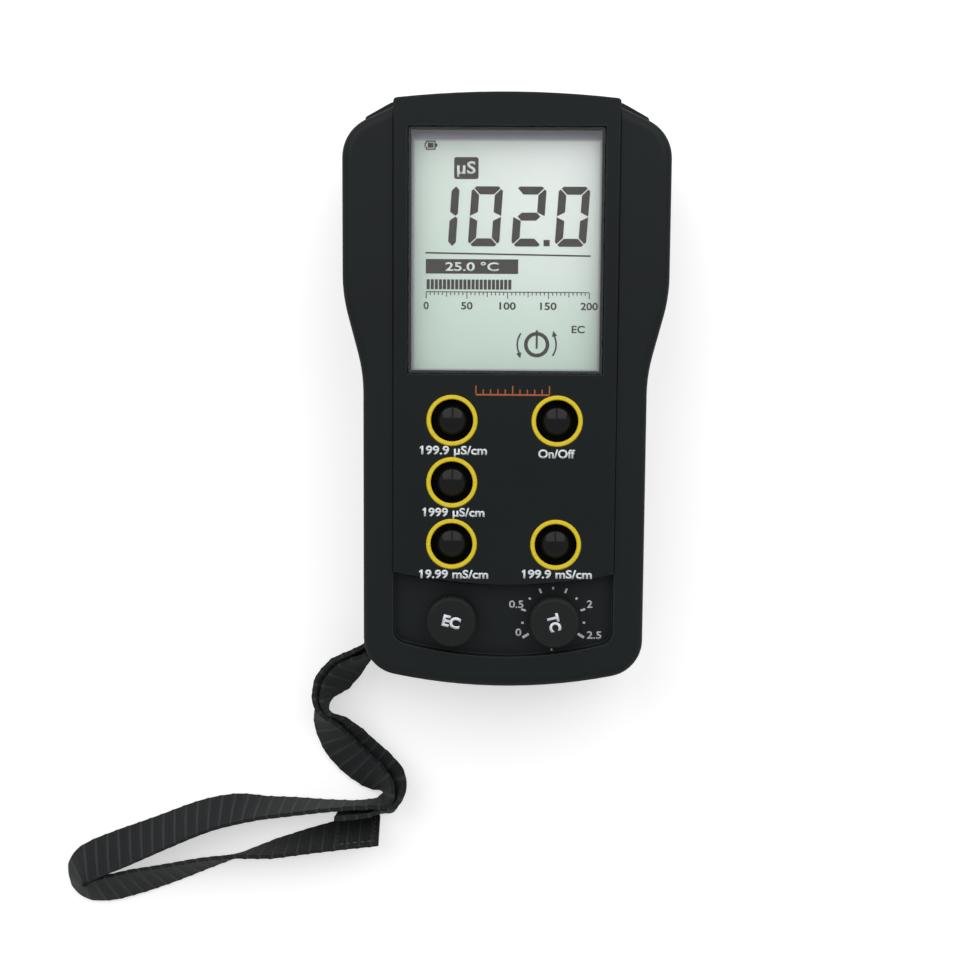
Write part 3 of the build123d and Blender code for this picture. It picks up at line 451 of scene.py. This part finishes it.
# Display window: a clear acrylic plate let into the panel. It passes light to the display behind it
# and has faint smears of polish on its face.
window_pass = 0.94
window_clear, tree, shader = new_material("window_clear")
ray = add_node(tree, "ShaderNodeLightPath")
tree.links.new(scaled(tree, noise_at(tree, object_place(tree), 60.0, 4.0), 0.03, 0.005),
               shader.inputs["Roughness"])
passing = largest(tree, ray.outputs["Is Shadow Ray"], ray.outputs["Is Diffuse Ray"])
tree.links.new(sum_up(tree, "SUBTRACT", 1, sum_up(tree, "MULTIPLY", passing, window_pass)),
               shader.inputs["Alpha"])
shader.inputs["Specular IOR Level"].default_value = 0.15
shader.inputs["Base Color"].default_value = (0.97, 0.985, 0.98, 1)
shader.inputs["Transmission Weight"].default_value = 1.0
shader.inputs["IOR"].default_value = 1.49
dress(window_clear, "display_window")

# Liquid crystal glass: two thin plates on a pale green reflector, with painted light that makes it
# brightest at the upper right, and a painted violet-grey shade along its rim where the frame walls shade
# it. It sits in a frame on the board.
rim_left, rim_right = -0.0220, 0.0222
rim_low, rim_top = 0.0070, 0.0612
rim_fade = 0.0008
lcd_back, tree, shader = new_material("lcd_back")
where = object_place(tree)
spot = add_node(tree, "ShaderNodeSeparateXYZ", inputs={0: where})


def ramp(value, start, end):
    """Socket that goes smoothly from 0 at start to 1 at end."""
    return add_node(tree, "ShaderNodeMapRange", {"interpolation_type": "SMOOTHSTEP"},
                    {"Value": value, "From Min": start, "From Max": end}).outputs["Result"]


# Painted light: the reflector is paler towards the top and brightest at the upper right.
painted_light_upward = ramp(spot.outputs["Y"], 0.006, 0.058)
to_right = ramp(spot.outputs["X"], -0.022, 0.012)
body_tone = blend_of(tree, painted_light_upward, linear(196, 216, 204), linear(214, 228, 219))
painted_highlight_spot = sum_up(tree, "MULTIPLY", painted_light_upward, to_right)
body_tone = blend_of(tree, painted_highlight_spot, body_tone, linear(238, 243, 240))
# Painted shade of the frame's inner walls along the edges of the glass.
frame_shade = largest(tree, ramp(spot.outputs["Y"], rim_top, rim_top + 0.001),
              ramp(spot.outputs["X"], rim_right, rim_right + rim_fade),
              ramp(spot.outputs["X"], rim_left, rim_left - rim_fade),
              ramp(spot.outputs["Y"], rim_low, rim_low - rim_fade))
mottle = sum_up(tree, "MULTIPLY", noise_at(tree, where, 45.0, 2.0), 0.12)
body_tone = blend_of(tree, mottle, body_tone, linear(176, 205, 190))
tree.links.new(blend_of(tree, frame_shade, body_tone, linear(150, 150, 162)), shader.inputs["Base Color"])
tree.links.new(bump_of(tree, noise_at(tree, where, 9000.0), 0.15, 0.00002), shader.inputs["Normal"])
shader.inputs["Roughness"].default_value = 0.35
dress(lcd_back, "lcd_glass")

# Marks of the display: slanted seven-segment digits, unit box, battery sign, rule, temperature box,
# bar scale and knob sign. Each is a film of dark liquid crystal, seen as a thin sheet on the glass.
lcd_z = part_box("lcd_glass")[1].z
film_thickness = 0.00006
digit_width = 0.0076
digit_height = 0.01435
digit_stroke = 0.0019
digit_gap = 0.000095
digit_slant = 0.066
digit_pitch = 0.01055
digit_y = 0.0436
digit_corner = 0.0011
first_digit_x = -0.0156
point_low, point_size = 0.0001, 0.0015
point_x = 0.0091
segments_of = {"0": "abcdef", "1": ("one_up", "one_down"), "2": "abged"}


def film(name, outlines, z):
    """Thin flat shapes at height z: each outline is a list of x, y places, going round to the left."""
    bpy.ops.object.select_all(action="DESELECT")
    made = []
    for outline in outlines:
        bpy.ops.mesh.primitive_circle_add(vertices=len(outline), radius=1, fill_type="NGON")
        shape = bpy.context.object
        for v, (x, y) in zip(shape.data.vertices, outline):
            v.co = (x, y, z)
        made.append(shape)
    bpy.ops.object.select_all(action="DESELECT")
    for shape in made:
        shape.select_set(True)
    bpy.context.view_layer.objects.active = made[0]
    if len(made) > 1:
        bpy.ops.object.join()
    sheet = bpy.context.object
    sheet.name = name
    bpy.ops.object.mode_set(mode="EDIT")
    bpy.ops.mesh.select_all(action="SELECT")
    bpy.ops.mesh.extrude_region_move(TRANSFORM_OT_translate={"value": (0, 0, film_thickness)})
    bpy.ops.mesh.select_all(action="SELECT")
    bpy.ops.mesh.normals_make_consistent(inside=False)
    bpy.ops.object.mode_set(mode="OBJECT")
    bpy.ops.object.transform_apply(location=True, rotation=True, scale=True)
    return sheet


def bar(x0, y0, x1, y1):
    """Outline of an upright rectangle."""
    return [(x0, y0), (x1, y0), (x1, y1), (x0, y1)]


def arc_band(cx, cy, inner, outer, start, end, steps=32):
    """Outline of a band of a ring between two angles in degrees."""
    angles = [math.radians(start + (end - start) * i / steps) for i in range(steps + 1)]
    outside = [(cx + outer * math.cos(a), cy + outer * math.sin(a)) for a in angles]
    inside = [(cx + inner * math.cos(a), cy + inner * math.sin(a)) for a in reversed(angles)]
    return outside + inside


w, h, s, g, cut = digit_width / 2, digit_height / 2, digit_stroke, digit_gap, digit_corner
shapes = {
    "a": [(-w + cut, h), (-w + cut / 2 + g, h - cut / 2 + g), (-w + s + 2 * g, h - s),
          (w - s - 2 * g, h - s), (w - cut / 2 - g, h - cut / 2 + g), (w - cut, h)],
    "b": [(w, h - cut), (w - cut / 2 + g, h - cut / 2 - g), (w - s, h - s - 2 * g), (w - s, s / 2 + g),
          (w, g)],
    "c": [(w, -g), (w - s, -s / 2 - g), (w - s, -h + s + 2 * g), (w - cut / 2 + g, -h + cut / 2 + g),
          (w, -h + cut)],
    "g": [(-w + s / 2 + g, 0), (-w + s + g, -s / 2), (w - s - g, -s / 2), (w - s / 2 - g, 0),
          (w - s - g, s / 2), (-w + s + g, s / 2)],
    "one_up": [(w, h - s / 2), (w - s * 0.45, h), (w - s, h - s * 0.6), (w - s, s / 2 + g),
               (w - s * 0.3, g), (w, s / 4 + g)],
    "one_down": [(w, -s / 4 - g), (w - s * 0.3, -g), (w - s, -s / 2 - g), (w - s, -h + s * 0.6),
                 (w - s * 0.45, -h), (w, -h + s / 2)],
}
shapes["d"] = [(x, -y) for x, y in shapes["a"]]
shapes["e"] = [(-x, y) for x, y in shapes["c"]]
shapes["f"] = [(-x, y) for x, y in shapes["b"]]
outlines = []
for number, digit in enumerate("1020"):
    middle_x = first_digit_x + number * digit_pitch
    for letter in segments_of[digit]:
        outlines.append([(middle_x + x + digit_slant * y, digit_y + y) for x, y in shapes[letter]])
point_y = digit_y - h + point_low
outlines.append(bar(point_x, point_y, point_x + point_size, point_y + point_size))
lcd_digits = film("lcd_digits", outlines, lcd_z)

box_left, box_low, box_right, box_top = -0.0121, 0.0531, -0.0074, 0.0571
box_corner = 0.0006
box_outline = []
for x, y, start in ((box_left, box_low, 180), (box_right, box_low, 270), (box_right, box_top, 0),
                    (box_left, box_top, 90)):
    box_outline += arc_band(x, y, 0, box_corner, start, start + 90, 6)[:7]
unit_box = film("lcd_unit_box", [box_outline], lcd_z)

left, low, right, top = -0.0196, 0.0594, -0.0172, 0.0616
line = 0.0003
battery_sign = film("lcd_battery_sign", [
    bar(left, top - line, right, top), bar(left, low, right, low + line),
    bar(left, low + line, left + line, low + 0.0007), bar(left, top - 0.0007, left + line, top - line),
    bar(left - line, low + 0.0006, left, top - 0.0006), bar(right - line, low + line, right, top - line),
    bar(right, low + 0.0007, right + 0.0004, top - 0.0007),
    bar(left + 0.0005, low + 0.0005, right - 0.0005, top - 0.0005)], lcd_z)

rule_thickness = 0.00036
rule_line = film("lcd_rule", [[(-0.0196, 0.03462), (0.0206, 0.03402), (0.0206, 0.03402 + rule_thickness),
                               (-0.0196, 0.03462 + rule_thickness)]], lcd_z)
value_box = film("lcd_value_box", [bar(-0.0195, 0.0298, 0.0030, 0.0333)], lcd_z)

# Bar scale in three rows: filled bars, a line, and the ticks under it, each fifth and tenth one longer
scale_left, scale_right, scale_y = -0.0194, 0.0204, 0.0253
scale_line = 0.0002
steps, filled_steps = 40, 21
bars_low, bars_top, bars_gap = 0.0260, 0.0284, 0.00012
scale_step = (scale_right - scale_left) / steps
scale_shapes = [bar(scale_left, scale_y, scale_right, scale_y + scale_line)]
for i in range(steps + 1):
    x = scale_left + i * scale_step
    tall = 0.0015 if i % 10 == 0 else (0.0011 if i % 5 == 0 else 0.0007)
    scale_shapes.append(bar(x - scale_line / 2, scale_y - tall, x + scale_line / 2, scale_y))
    if i < filled_steps:
        scale_shapes.append(bar(x + bars_gap, bars_low, x + scale_step - bars_gap, bars_top))
scale_bars = film("lcd_scale", scale_shapes, lcd_z)

# Knob sign: a ring with a pointer, between two arrows that curve round it
sign_x, sign_y = 0.0077, 0.0127
ring_inner, ring_outer = 0.0022, 0.0031
arrow_inner, arrow_outer = 0.00455, 0.00495
sign_shapes = [arc_band(sign_x, sign_y, ring_inner, ring_outer, 0, 180),
               arc_band(sign_x, sign_y, ring_inner, ring_outer, 180, 360),
               bar(sign_x - 0.00025, sign_y - 0.0010, sign_x + 0.00025, sign_y + 0.0035),
               arc_band(sign_x, sign_y, arrow_inner, arrow_outer, 145, 208),
               arc_band(sign_x, sign_y, arrow_inner, arrow_outer, -35, 28)]
for side in (-1, 1):
    tip_x, tip_y = sign_x + side * 0.0041, sign_y + side * 0.0028
    sign_shapes.append([(tip_x + side * 0.0009, tip_y - side * 0.0006),
                        (tip_x - side * 0.0001, tip_y + side * 0.0006),
                        (tip_x - side * 0.0004, tip_y - side * 0.0009)])
knob_sign = film("lcd_knob_sign", sign_shapes, lcd_z)

cap_share = 0.729


def print_text(name, text, cap, width, x, y, z, turn=0.0, weight=0.02):
    """Flat letters: cap is the height of a capital, width the length of the line, both in metres."""
    bpy.ops.object.select_all(action="DESELECT")
    bpy.ops.object.text_add()
    letters = bpy.context.object
    letters.name = name
    letters.data.body = text
    letters.data.size = 1.0
    letters.data.offset = weight
    letters.data.resolution_u = 4
    letters.data.align_x = "CENTER"
    bpy.ops.object.convert(target="MESH")
    spots = [v.co for v in letters.data.vertices]
    long = max(c.x for c in spots) - min(c.x for c in spots)
    middle = (max(c.x for c in spots) + min(c.x for c in spots)) / 2
    bpy.ops.object.mode_set(mode="EDIT")
    bpy.ops.mesh.select_all(action="SELECT")
    bpy.ops.mesh.extrude_region_move(TRANSFORM_OT_translate={"value": (0, 0, 1)})
    bpy.ops.mesh.select_all(action="SELECT")
    bpy.ops.mesh.normals_make_consistent(inside=False)
    bpy.ops.object.mode_set(mode="OBJECT")
    size = Matrix.Diagonal((width / long, cap / cap_share, film_thickness, 1))
    letters.data.transform(Matrix.Translation((x, y, z)) @ Matrix.Rotation(turn, 4, "Z") @ size
                           @ Matrix.Translation((-middle, -cap_share / 2, 0)))
    return letters


on_ink = lcd_z + film_thickness
unit_letters = print_text("lcd_unit_letters", "µS", 0.0030, 0.0045, -0.00975, 0.0553, on_ink)
value_letters = print_text("lcd_value_letters", "25.0 °C", 0.0021, 0.0130, -0.00825, 0.03155, on_ink)
small_cap, numbers_y = 0.0018, 0.0221
scale_letters = [
    print_text(f"lcd_scale_number_{i}", text, small_cap, wide, scale_left + i * 10 * scale_step,
               numbers_y, lcd_z)
    for i, (text, wide) in enumerate([("0", 0.0013), ("50", 0.0028), ("100", 0.0040), ("150", 0.0040),
                                      ("200", 0.0042)])
]
knob_letters = print_text("lcd_knob_letters", "EC", small_cap, 0.0032, 0.0178, 0.0165, lcd_z)
lcd_ink = speckled("lcd_ink", linear(24, 18, 17), linear(38, 31, 29), 300.0, 0.45, 0.1)
lcd_pale = speckled("lcd_pale", linear(214, 226, 219), linear(230, 238, 234), 300.0, 0.4)
dark_marks = [lcd_digits, unit_box, battery_sign, rule_line, value_box, scale_bars, knob_sign, knob_letters,
              *scale_letters]
pale_marks = [unit_letters, value_letters]
for pieces, ink in ((dark_marks, lcd_ink), (pale_marks, lcd_pale)):
    for piece in pieces:
        piece.data.materials.append(ink)
        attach(piece, "case")

# Push buttons: polished black domes on black skirts, moulded in one piece each. A flange under the front
# shell holds them, and each stands inside a ring that is printed in yellow.
skirt_z = 0.0323
dome_blend = 0.0003
button_black, tree, shader = new_material("button_black")
where = object_place(tree)
haze = noise_at(tree, where, 240.0, 4.0)
tree.links.new(scaled(tree, haze, 0.12, 0.07), shader.inputs["Roughness"])
tree.links.new(blend_of(tree, haze, linear(4, 5, 5), linear(8, 9, 9)), shader.inputs["Base Color"])
height = add_node(tree, "ShaderNodeSeparateXYZ", inputs={0: where})
dome = add_node(tree, "ShaderNodeMapRange", inputs={
    "Value": height.outputs["Z"], "From Min": skirt_z, "From Max": skirt_z + dome_blend, "To Min": 0.01,
    "To Max": 0.15})
tree.links.new(dome.outputs["Result"], shader.inputs["Specular IOR Level"])
dress(button_black, "range_button_1", "range_button_2", "range_button_3", "range_button_4", "power_button")

print_group, takes, gives = new_group(
    "print_wear", [("Vector", "NodeSocketVector", None), ("Ink", "NodeSocketColor", (1, 1, 1, 1)),
                   ("Thin Ink", "NodeSocketColor", (0.5, 0.5, 0.5, 1))],
    [("Color", "NodeSocketColor"), ("Height", "NodeSocketFloat")])
blotch = add_node(print_group, "ShaderNodeTexNoise", inputs={
    "Vector": takes.outputs["Vector"], "Scale": 1500.0, "Detail": 6.0, "Roughness": 0.7})
thin = add_node(print_group, "ShaderNodeMapRange", inputs={
    "Value": blotch.outputs["Fac"], "From Min": 0.5, "From Max": 0.75})
print_group.links.new(blend_of(print_group, thin.outputs["Result"], takes.outputs["Ink"],
                               takes.outputs["Thin Ink"]), gives.inputs["Color"])
print_group.links.new(blotch.outputs["Fac"], gives.inputs["Height"])


def printed(name, ink, thin_ink, roughness=0.5):
    """Screen-printed ink with slightly thin spots."""
    made, tree, shader = new_material(name)
    wear = add_node(tree, "ShaderNodeGroup", {"node_tree": print_group},
                    {"Vector": object_place(tree), "Ink": ink, "Thin Ink": thin_ink})
    tree.links.new(wear.outputs["Color"], shader.inputs["Base Color"])
    tree.links.new(bump_of(tree, wear.outputs["Height"], 0.3, 0.00003), shader.inputs["Normal"])
    shader.inputs["Roughness"].default_value = roughness
    return made


ring_yellow = printed("ring_yellow", linear(222, 196, 14), linear(192, 164, 8), roughness=0.4)
dress(ring_yellow, *[f"button_ring_{number}" for number in range(1, 6)])

# Labels: the range names and the word of the power button, printed in white under the buttons, and a
# short graduated line printed in orange above them. The ones get their flags here, because the letter
# face has none.
panel_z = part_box("button_ring_1")[0].z + 0.0008
label_cap, label_weight = 0.0021, 0.028
flag_reach = 0.0004
flag_in = 0.00005
label_white = printed("label_white", linear(226, 231, 236), linear(178, 186, 192))
label_orange = printed("label_orange", linear(160, 78, 24), linear(122, 58, 18))
labels = []
flag_shapes = []
for name, text, wide, x, y in (
        ("label_range_1", "199.9 µS/cm", 0.0160, -0.0122, -0.0129),
        ("label_range_2", "1999 µS/cm", 0.0148, -0.0121, -0.0281),
        ("label_range_3", "19.99 mS/cm", 0.0166, -0.0120, -0.0434),
        ("label_range_4", "199.9 mS/cm", 0.0168, 0.0133, -0.0432),
        ("label_power", "On/Off", 0.0089, 0.0127, -0.0136)):
    labels.append(print_text(name, text, label_cap, wide, x, y, panel_z, weight=label_weight))
    if text.startswith("1"):
        edge = x - wide / 2 + flag_in
        flag_shapes.append([(edge, y + 0.00105), (edge, y + 0.0005), (edge - flag_reach, y + 0.00025),
                            (edge - flag_reach, y + 0.0006)])
labels.append(film("label_flags", flag_shapes, panel_z))
for label in labels:
    label.data.materials.append(label_white)
    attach(label, "case")
mark_left, mark_right, mark_y = -0.0070, 0.0108, 0.0004
mark_line, mark_stroke, mark_steps = 0.0004, 0.0003, 10
mark_shapes = [bar(mark_left, mark_y, mark_right, mark_y + mark_line)]
for i in range(mark_steps + 1):
    x = mark_left + (mark_right - mark_left) / mark_steps * i
    tall = 0.0020 if i % 5 == 0 else 0.0011
    mark_shapes.append(bar(x - mark_stroke / 2, mark_y + mark_line, x + mark_stroke / 2,
                           mark_y + mark_line + tall))
accent_marks = film("accent_marks", mark_shapes, panel_z)
accent_marks.data.materials.append(label_orange)
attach(accent_marks, "case")

# Dial of the right-hand knob: ticks and numbers from 0 to 2.5, printed in pale grey on the floor of the
# tray, with a small dot below the knob.
tray_z = 0.030
dial_x, dial_y = 0.0125, -0.0551
dial_start, dial_step, dial_ticks = 212.7, -24.4, 11
dial_cap = 0.0019
dial_shapes = []
for i in range(dial_ticks):
    angle = math.radians(dial_start + dial_step * i)
    at_end = i in (0, dial_ticks - 1)
    near, far = (0.0072, 0.0090) if at_end else ((0.0071, 0.0083) if i % 2 == 0 else (0.0074, 0.0080))
    way = Vector((math.cos(angle), math.sin(angle)))
    side = Vector((-way.y, way.x)) * (0.00032 if at_end else 0.00024)
    middle = Vector((dial_x, dial_y))
    dial_shapes.append([tuple(middle + way * near - side), tuple(middle + way * far - side),
                        tuple(middle + way * far + side), tuple(middle + way * near + side)])
dial_shapes.append(arc_band(0.0122, -0.0629, 0, 0.00025, 0, 360, 12)[:12])
dial_marks = film("dial_marks", dial_shapes, tray_z)
dial_numbers = [
    print_text(f"dial_number_{i}", text, dial_cap, wide, x, y, tray_z)
    for i, (text, wide, x, y) in enumerate([
        ("0", 0.0015, 0.0039, -0.0586), ("0.5", 0.0036, 0.0033, -0.0515), ("2", 0.0014, 0.0215, -0.0513),
        ("2.5", 0.0037, 0.0227, -0.0591)])
]
dial_grey = printed("dial_grey", linear(196, 200, 202), linear(140, 146, 150))
for piece in (dial_marks, *dial_numbers):
    piece.data.materials.append(dial_grey)
    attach(piece, "case")

# Knobs: moulded in black plastic with a knurled side and a satin top, pressed on their shafts. Two
# white letters stand on each top and turn with it.
knob_black = moulded("knob_black", linear(24, 26, 26), linear(58, 60, 61), roughness=0.5, fineness=3800.0,
                     wear_and_highlight_reach=0.0003)
dress(knob_black, "ec_knob", "tc_knob")
knob_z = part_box("ec_knob")[1].z
knob_cap, knob_text_width, knob_text_y, knob_weight = 0.0027, 0.0044, -0.0549, 0.045
for name, text, x, turn, knob in (("ec_letters", "EC", -0.0126, -14, "ec_knob"),
                                  ("tc_letters", "TC", 0.0126, -75, "tc_knob")):
    letters = print_text(name, text, knob_cap, knob_text_width, x, knob_text_y, knob_z,
                         turn=math.radians(turn), weight=knob_weight)
    letters.data.materials.append(label_white)
    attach(letters, knob)

# Metal pieces: plated steel shafts, strap bar and screws, the bright nickel socket ring and battery
# terminals, and the gilt contacts of the socket. All are turned, drawn or stamped, with fine streaks.
brushed_group, takes, gives = new_group(
    "fine_brushing", [("Vector", "NodeSocketVector", None), ("Coarseness", "NodeSocketFloat", 900.0)],
    [("Streak", "NodeSocketFloat")])
stretched = add_node(brushed_group, "ShaderNodeMapping", inputs={
    "Vector": takes.outputs["Vector"], "Scale": (1, 1, 14)})
streaks = noise_at(brushed_group, stretched.outputs["Vector"], takes.outputs["Coarseness"], 5.0)
brushed_group.links.new(streaks, gives.inputs["Streak"])


def metal(name, colour, dull, roughness):
    """Bare or plated metal with fine streaks."""
    made, tree, shader = new_material(name)
    streak = add_node(tree, "ShaderNodeGroup", {"node_tree": brushed_group},
                      {"Vector": object_place(tree)}).outputs["Streak"]
    tree.links.new(blend_of(tree, streak, dull, colour), shader.inputs["Base Color"])
    tree.links.new(scaled(tree, streak, 0.15, roughness - 0.07), shader.inputs["Roughness"])
    tree.links.new(bump_of(tree, streak, 0.2, 0.00001), shader.inputs["Normal"])
    shader.inputs["Metallic"].default_value = 1.0
    return made


plated_steel = metal("plated_steel", linear(196, 198, 200), linear(140, 143, 146), 0.32)
bright_nickel = metal("bright_nickel", linear(222, 221, 216), linear(190, 189, 184), 0.14)
gilt = metal("gilt", linear(226, 190, 110), linear(190, 150, 80), 0.22)
dress(plated_steel, "case_screws", "board_screws", "strap_bar", "ec_shaft", "tc_shaft")
dress(bright_nickel, "socket_ring", "battery_terminals")
dress(gilt, "socket_contacts")

# Inner pieces: black plastic socket insert, display frame, potentiometers, chips and snap, grey switches,
# blue capacitors, silicone contact strips, the battery's sleeve and its red leads. They are seen only
# when the case is open.
switches = range(1, 6)
inner_black = moulded("inner_black", linear(34, 35, 36), linear(84, 86, 88), roughness=0.5, wear_and_highlight_reach=0.0003)
dress(inner_black, "socket_insert", "lcd_frame", "ec_potentiometer", "tc_potentiometer", "board_chips",
      "battery_snap")
switch_grey = moulded("switch_grey", linear(62, 64, 66), linear(120, 122, 124), roughness=0.4, wear_and_highlight_reach=0.0002)
dress(switch_grey, *[f"tact_switch_{number}" for number in switches],
      *[f"switch_plunger_{number}" for number in switches])
for name, dark, pale, roughness, wear_and_highlight_reach, node in (
        ("capacitor_blue", linear(28, 44, 86), linear(96, 108, 140), 0.3, 0.0004, "board_capacitors"),
        ("strip_rubber", linear(150, 112, 110), linear(190, 160, 158), 0.7, 0.0002, "zebra_strips"),
        ("sleeve_dark", linear(32, 36, 46), linear(120, 124, 130), 0.25, 0.0008, "battery_block"),
        ("lead_red", linear(150, 22, 20), linear(190, 60, 56), 0.35, 0.0002, "battery_leads")):
    dress(moulded(name, dark, pale, roughness=roughness, wear_and_highlight_reach=wear_and_highlight_reach), node)

# Circuit board: glass-fibre board with green solder mask over copper tracks, screwed to the bosses of
# the front shell.
board_green, tree, shader = new_material("board_green")
tracks = add_node(tree, "ShaderNodeTexBrick", inputs={
    "Vector": object_place(tree), "Scale": 160.0, "Mortar Size": 0.12, "Color1": (0, 0, 0, 1),
    "Color2": (0, 0, 0, 1), "Mortar": (1, 1, 1, 1)})
tree.links.new(blend_of(tree, tracks.outputs["Color"], linear(16, 74, 42), linear(38, 110, 66)),
               shader.inputs["Base Color"])
tree.links.new(bump_of(tree, tracks.outputs["Fac"], 0.3, 0.00003), shader.inputs["Normal"])
shader.inputs["Roughness"].default_value = 0.3
dress(board_green, "main_board")

# Table top: a plain pale floor just under the meter. It is white to the camera and keeps the soft
# shadow of the meter and the strap.
floor_size = 6.0
floor_z = -0.0002
floor_glow = 0.5
bpy.ops.object.select_all(action="DESELECT")
bpy.ops.mesh.primitive_plane_add(size=floor_size, location=(0, 0, floor_z))
floor = bpy.context.object
floor.name = "table_top"
floor_pale, tree, shader = new_material("floor_pale")
ray = add_node(tree, "ShaderNodeLightPath")
seen = largest(tree, ray.outputs["Is Camera Ray"], ray.outputs["Is Transmission Ray"])
shader.inputs["Base Color"].default_value = (0.72, 0.72, 0.72, 1)
shader.inputs["Roughness"].default_value = 0.9
shader.inputs["Specular IOR Level"].default_value = 0.1
shader.inputs["Emission Color"].default_value = (1, 1, 1, 1)
tree.links.new(sum_up(tree, "MULTIPLY", seen, floor_glow), shader.inputs["Emission Strength"])
floor.data.materials.append(floor_pale)
floor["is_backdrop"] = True

# Soft light: two large panels side by side beyond the socket end, with a gap between them that the
# domes show as a dark bar, and an even pale surround.
panel_distance = 1.3
panel_tilt = math.radians(40)
panel_offset = 0.85
panel_width, panel_height = 1.5, 1.38
panel_energy = 13.3
surround = 0.35
for side, name in ((-1, "panel_light_left"), (1, "panel_light_right")):
    bpy.ops.object.light_add(type="AREA", location=(
        side * panel_offset, panel_distance * math.sin(panel_tilt), panel_distance * math.cos(panel_tilt)))
    lamp = bpy.context.object
    lamp.name = name
    lamp.data.shape = "RECTANGLE"
    lamp.data.size = panel_width
    lamp.data.size_y = panel_height
    lamp.data.energy = panel_energy
    lamp.rotation_euler = (-panel_tilt, 0, 0)
world = bpy.data.worlds.new("studio_surround")
bpy.context.scene.world = world
world.use_nodes = True
tree = world.node_tree
ray = add_node(tree, "ShaderNodeLightPath")
seen = largest(tree, ray.outputs["Is Camera Ray"], ray.outputs["Is Glossy Ray"],
               ray.outputs["Is Transmission Ray"])
strength = scaled(tree, seen, 1 - surround, surround)
tree.nodes["Background"].inputs["Color"].default_value = (1, 1, 1, 1)
tree.links.new(strength, tree.nodes["Background"].inputs["Strength"])
bpy.context.scene.view_settings.view_transform = "Standard"

low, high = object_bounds()
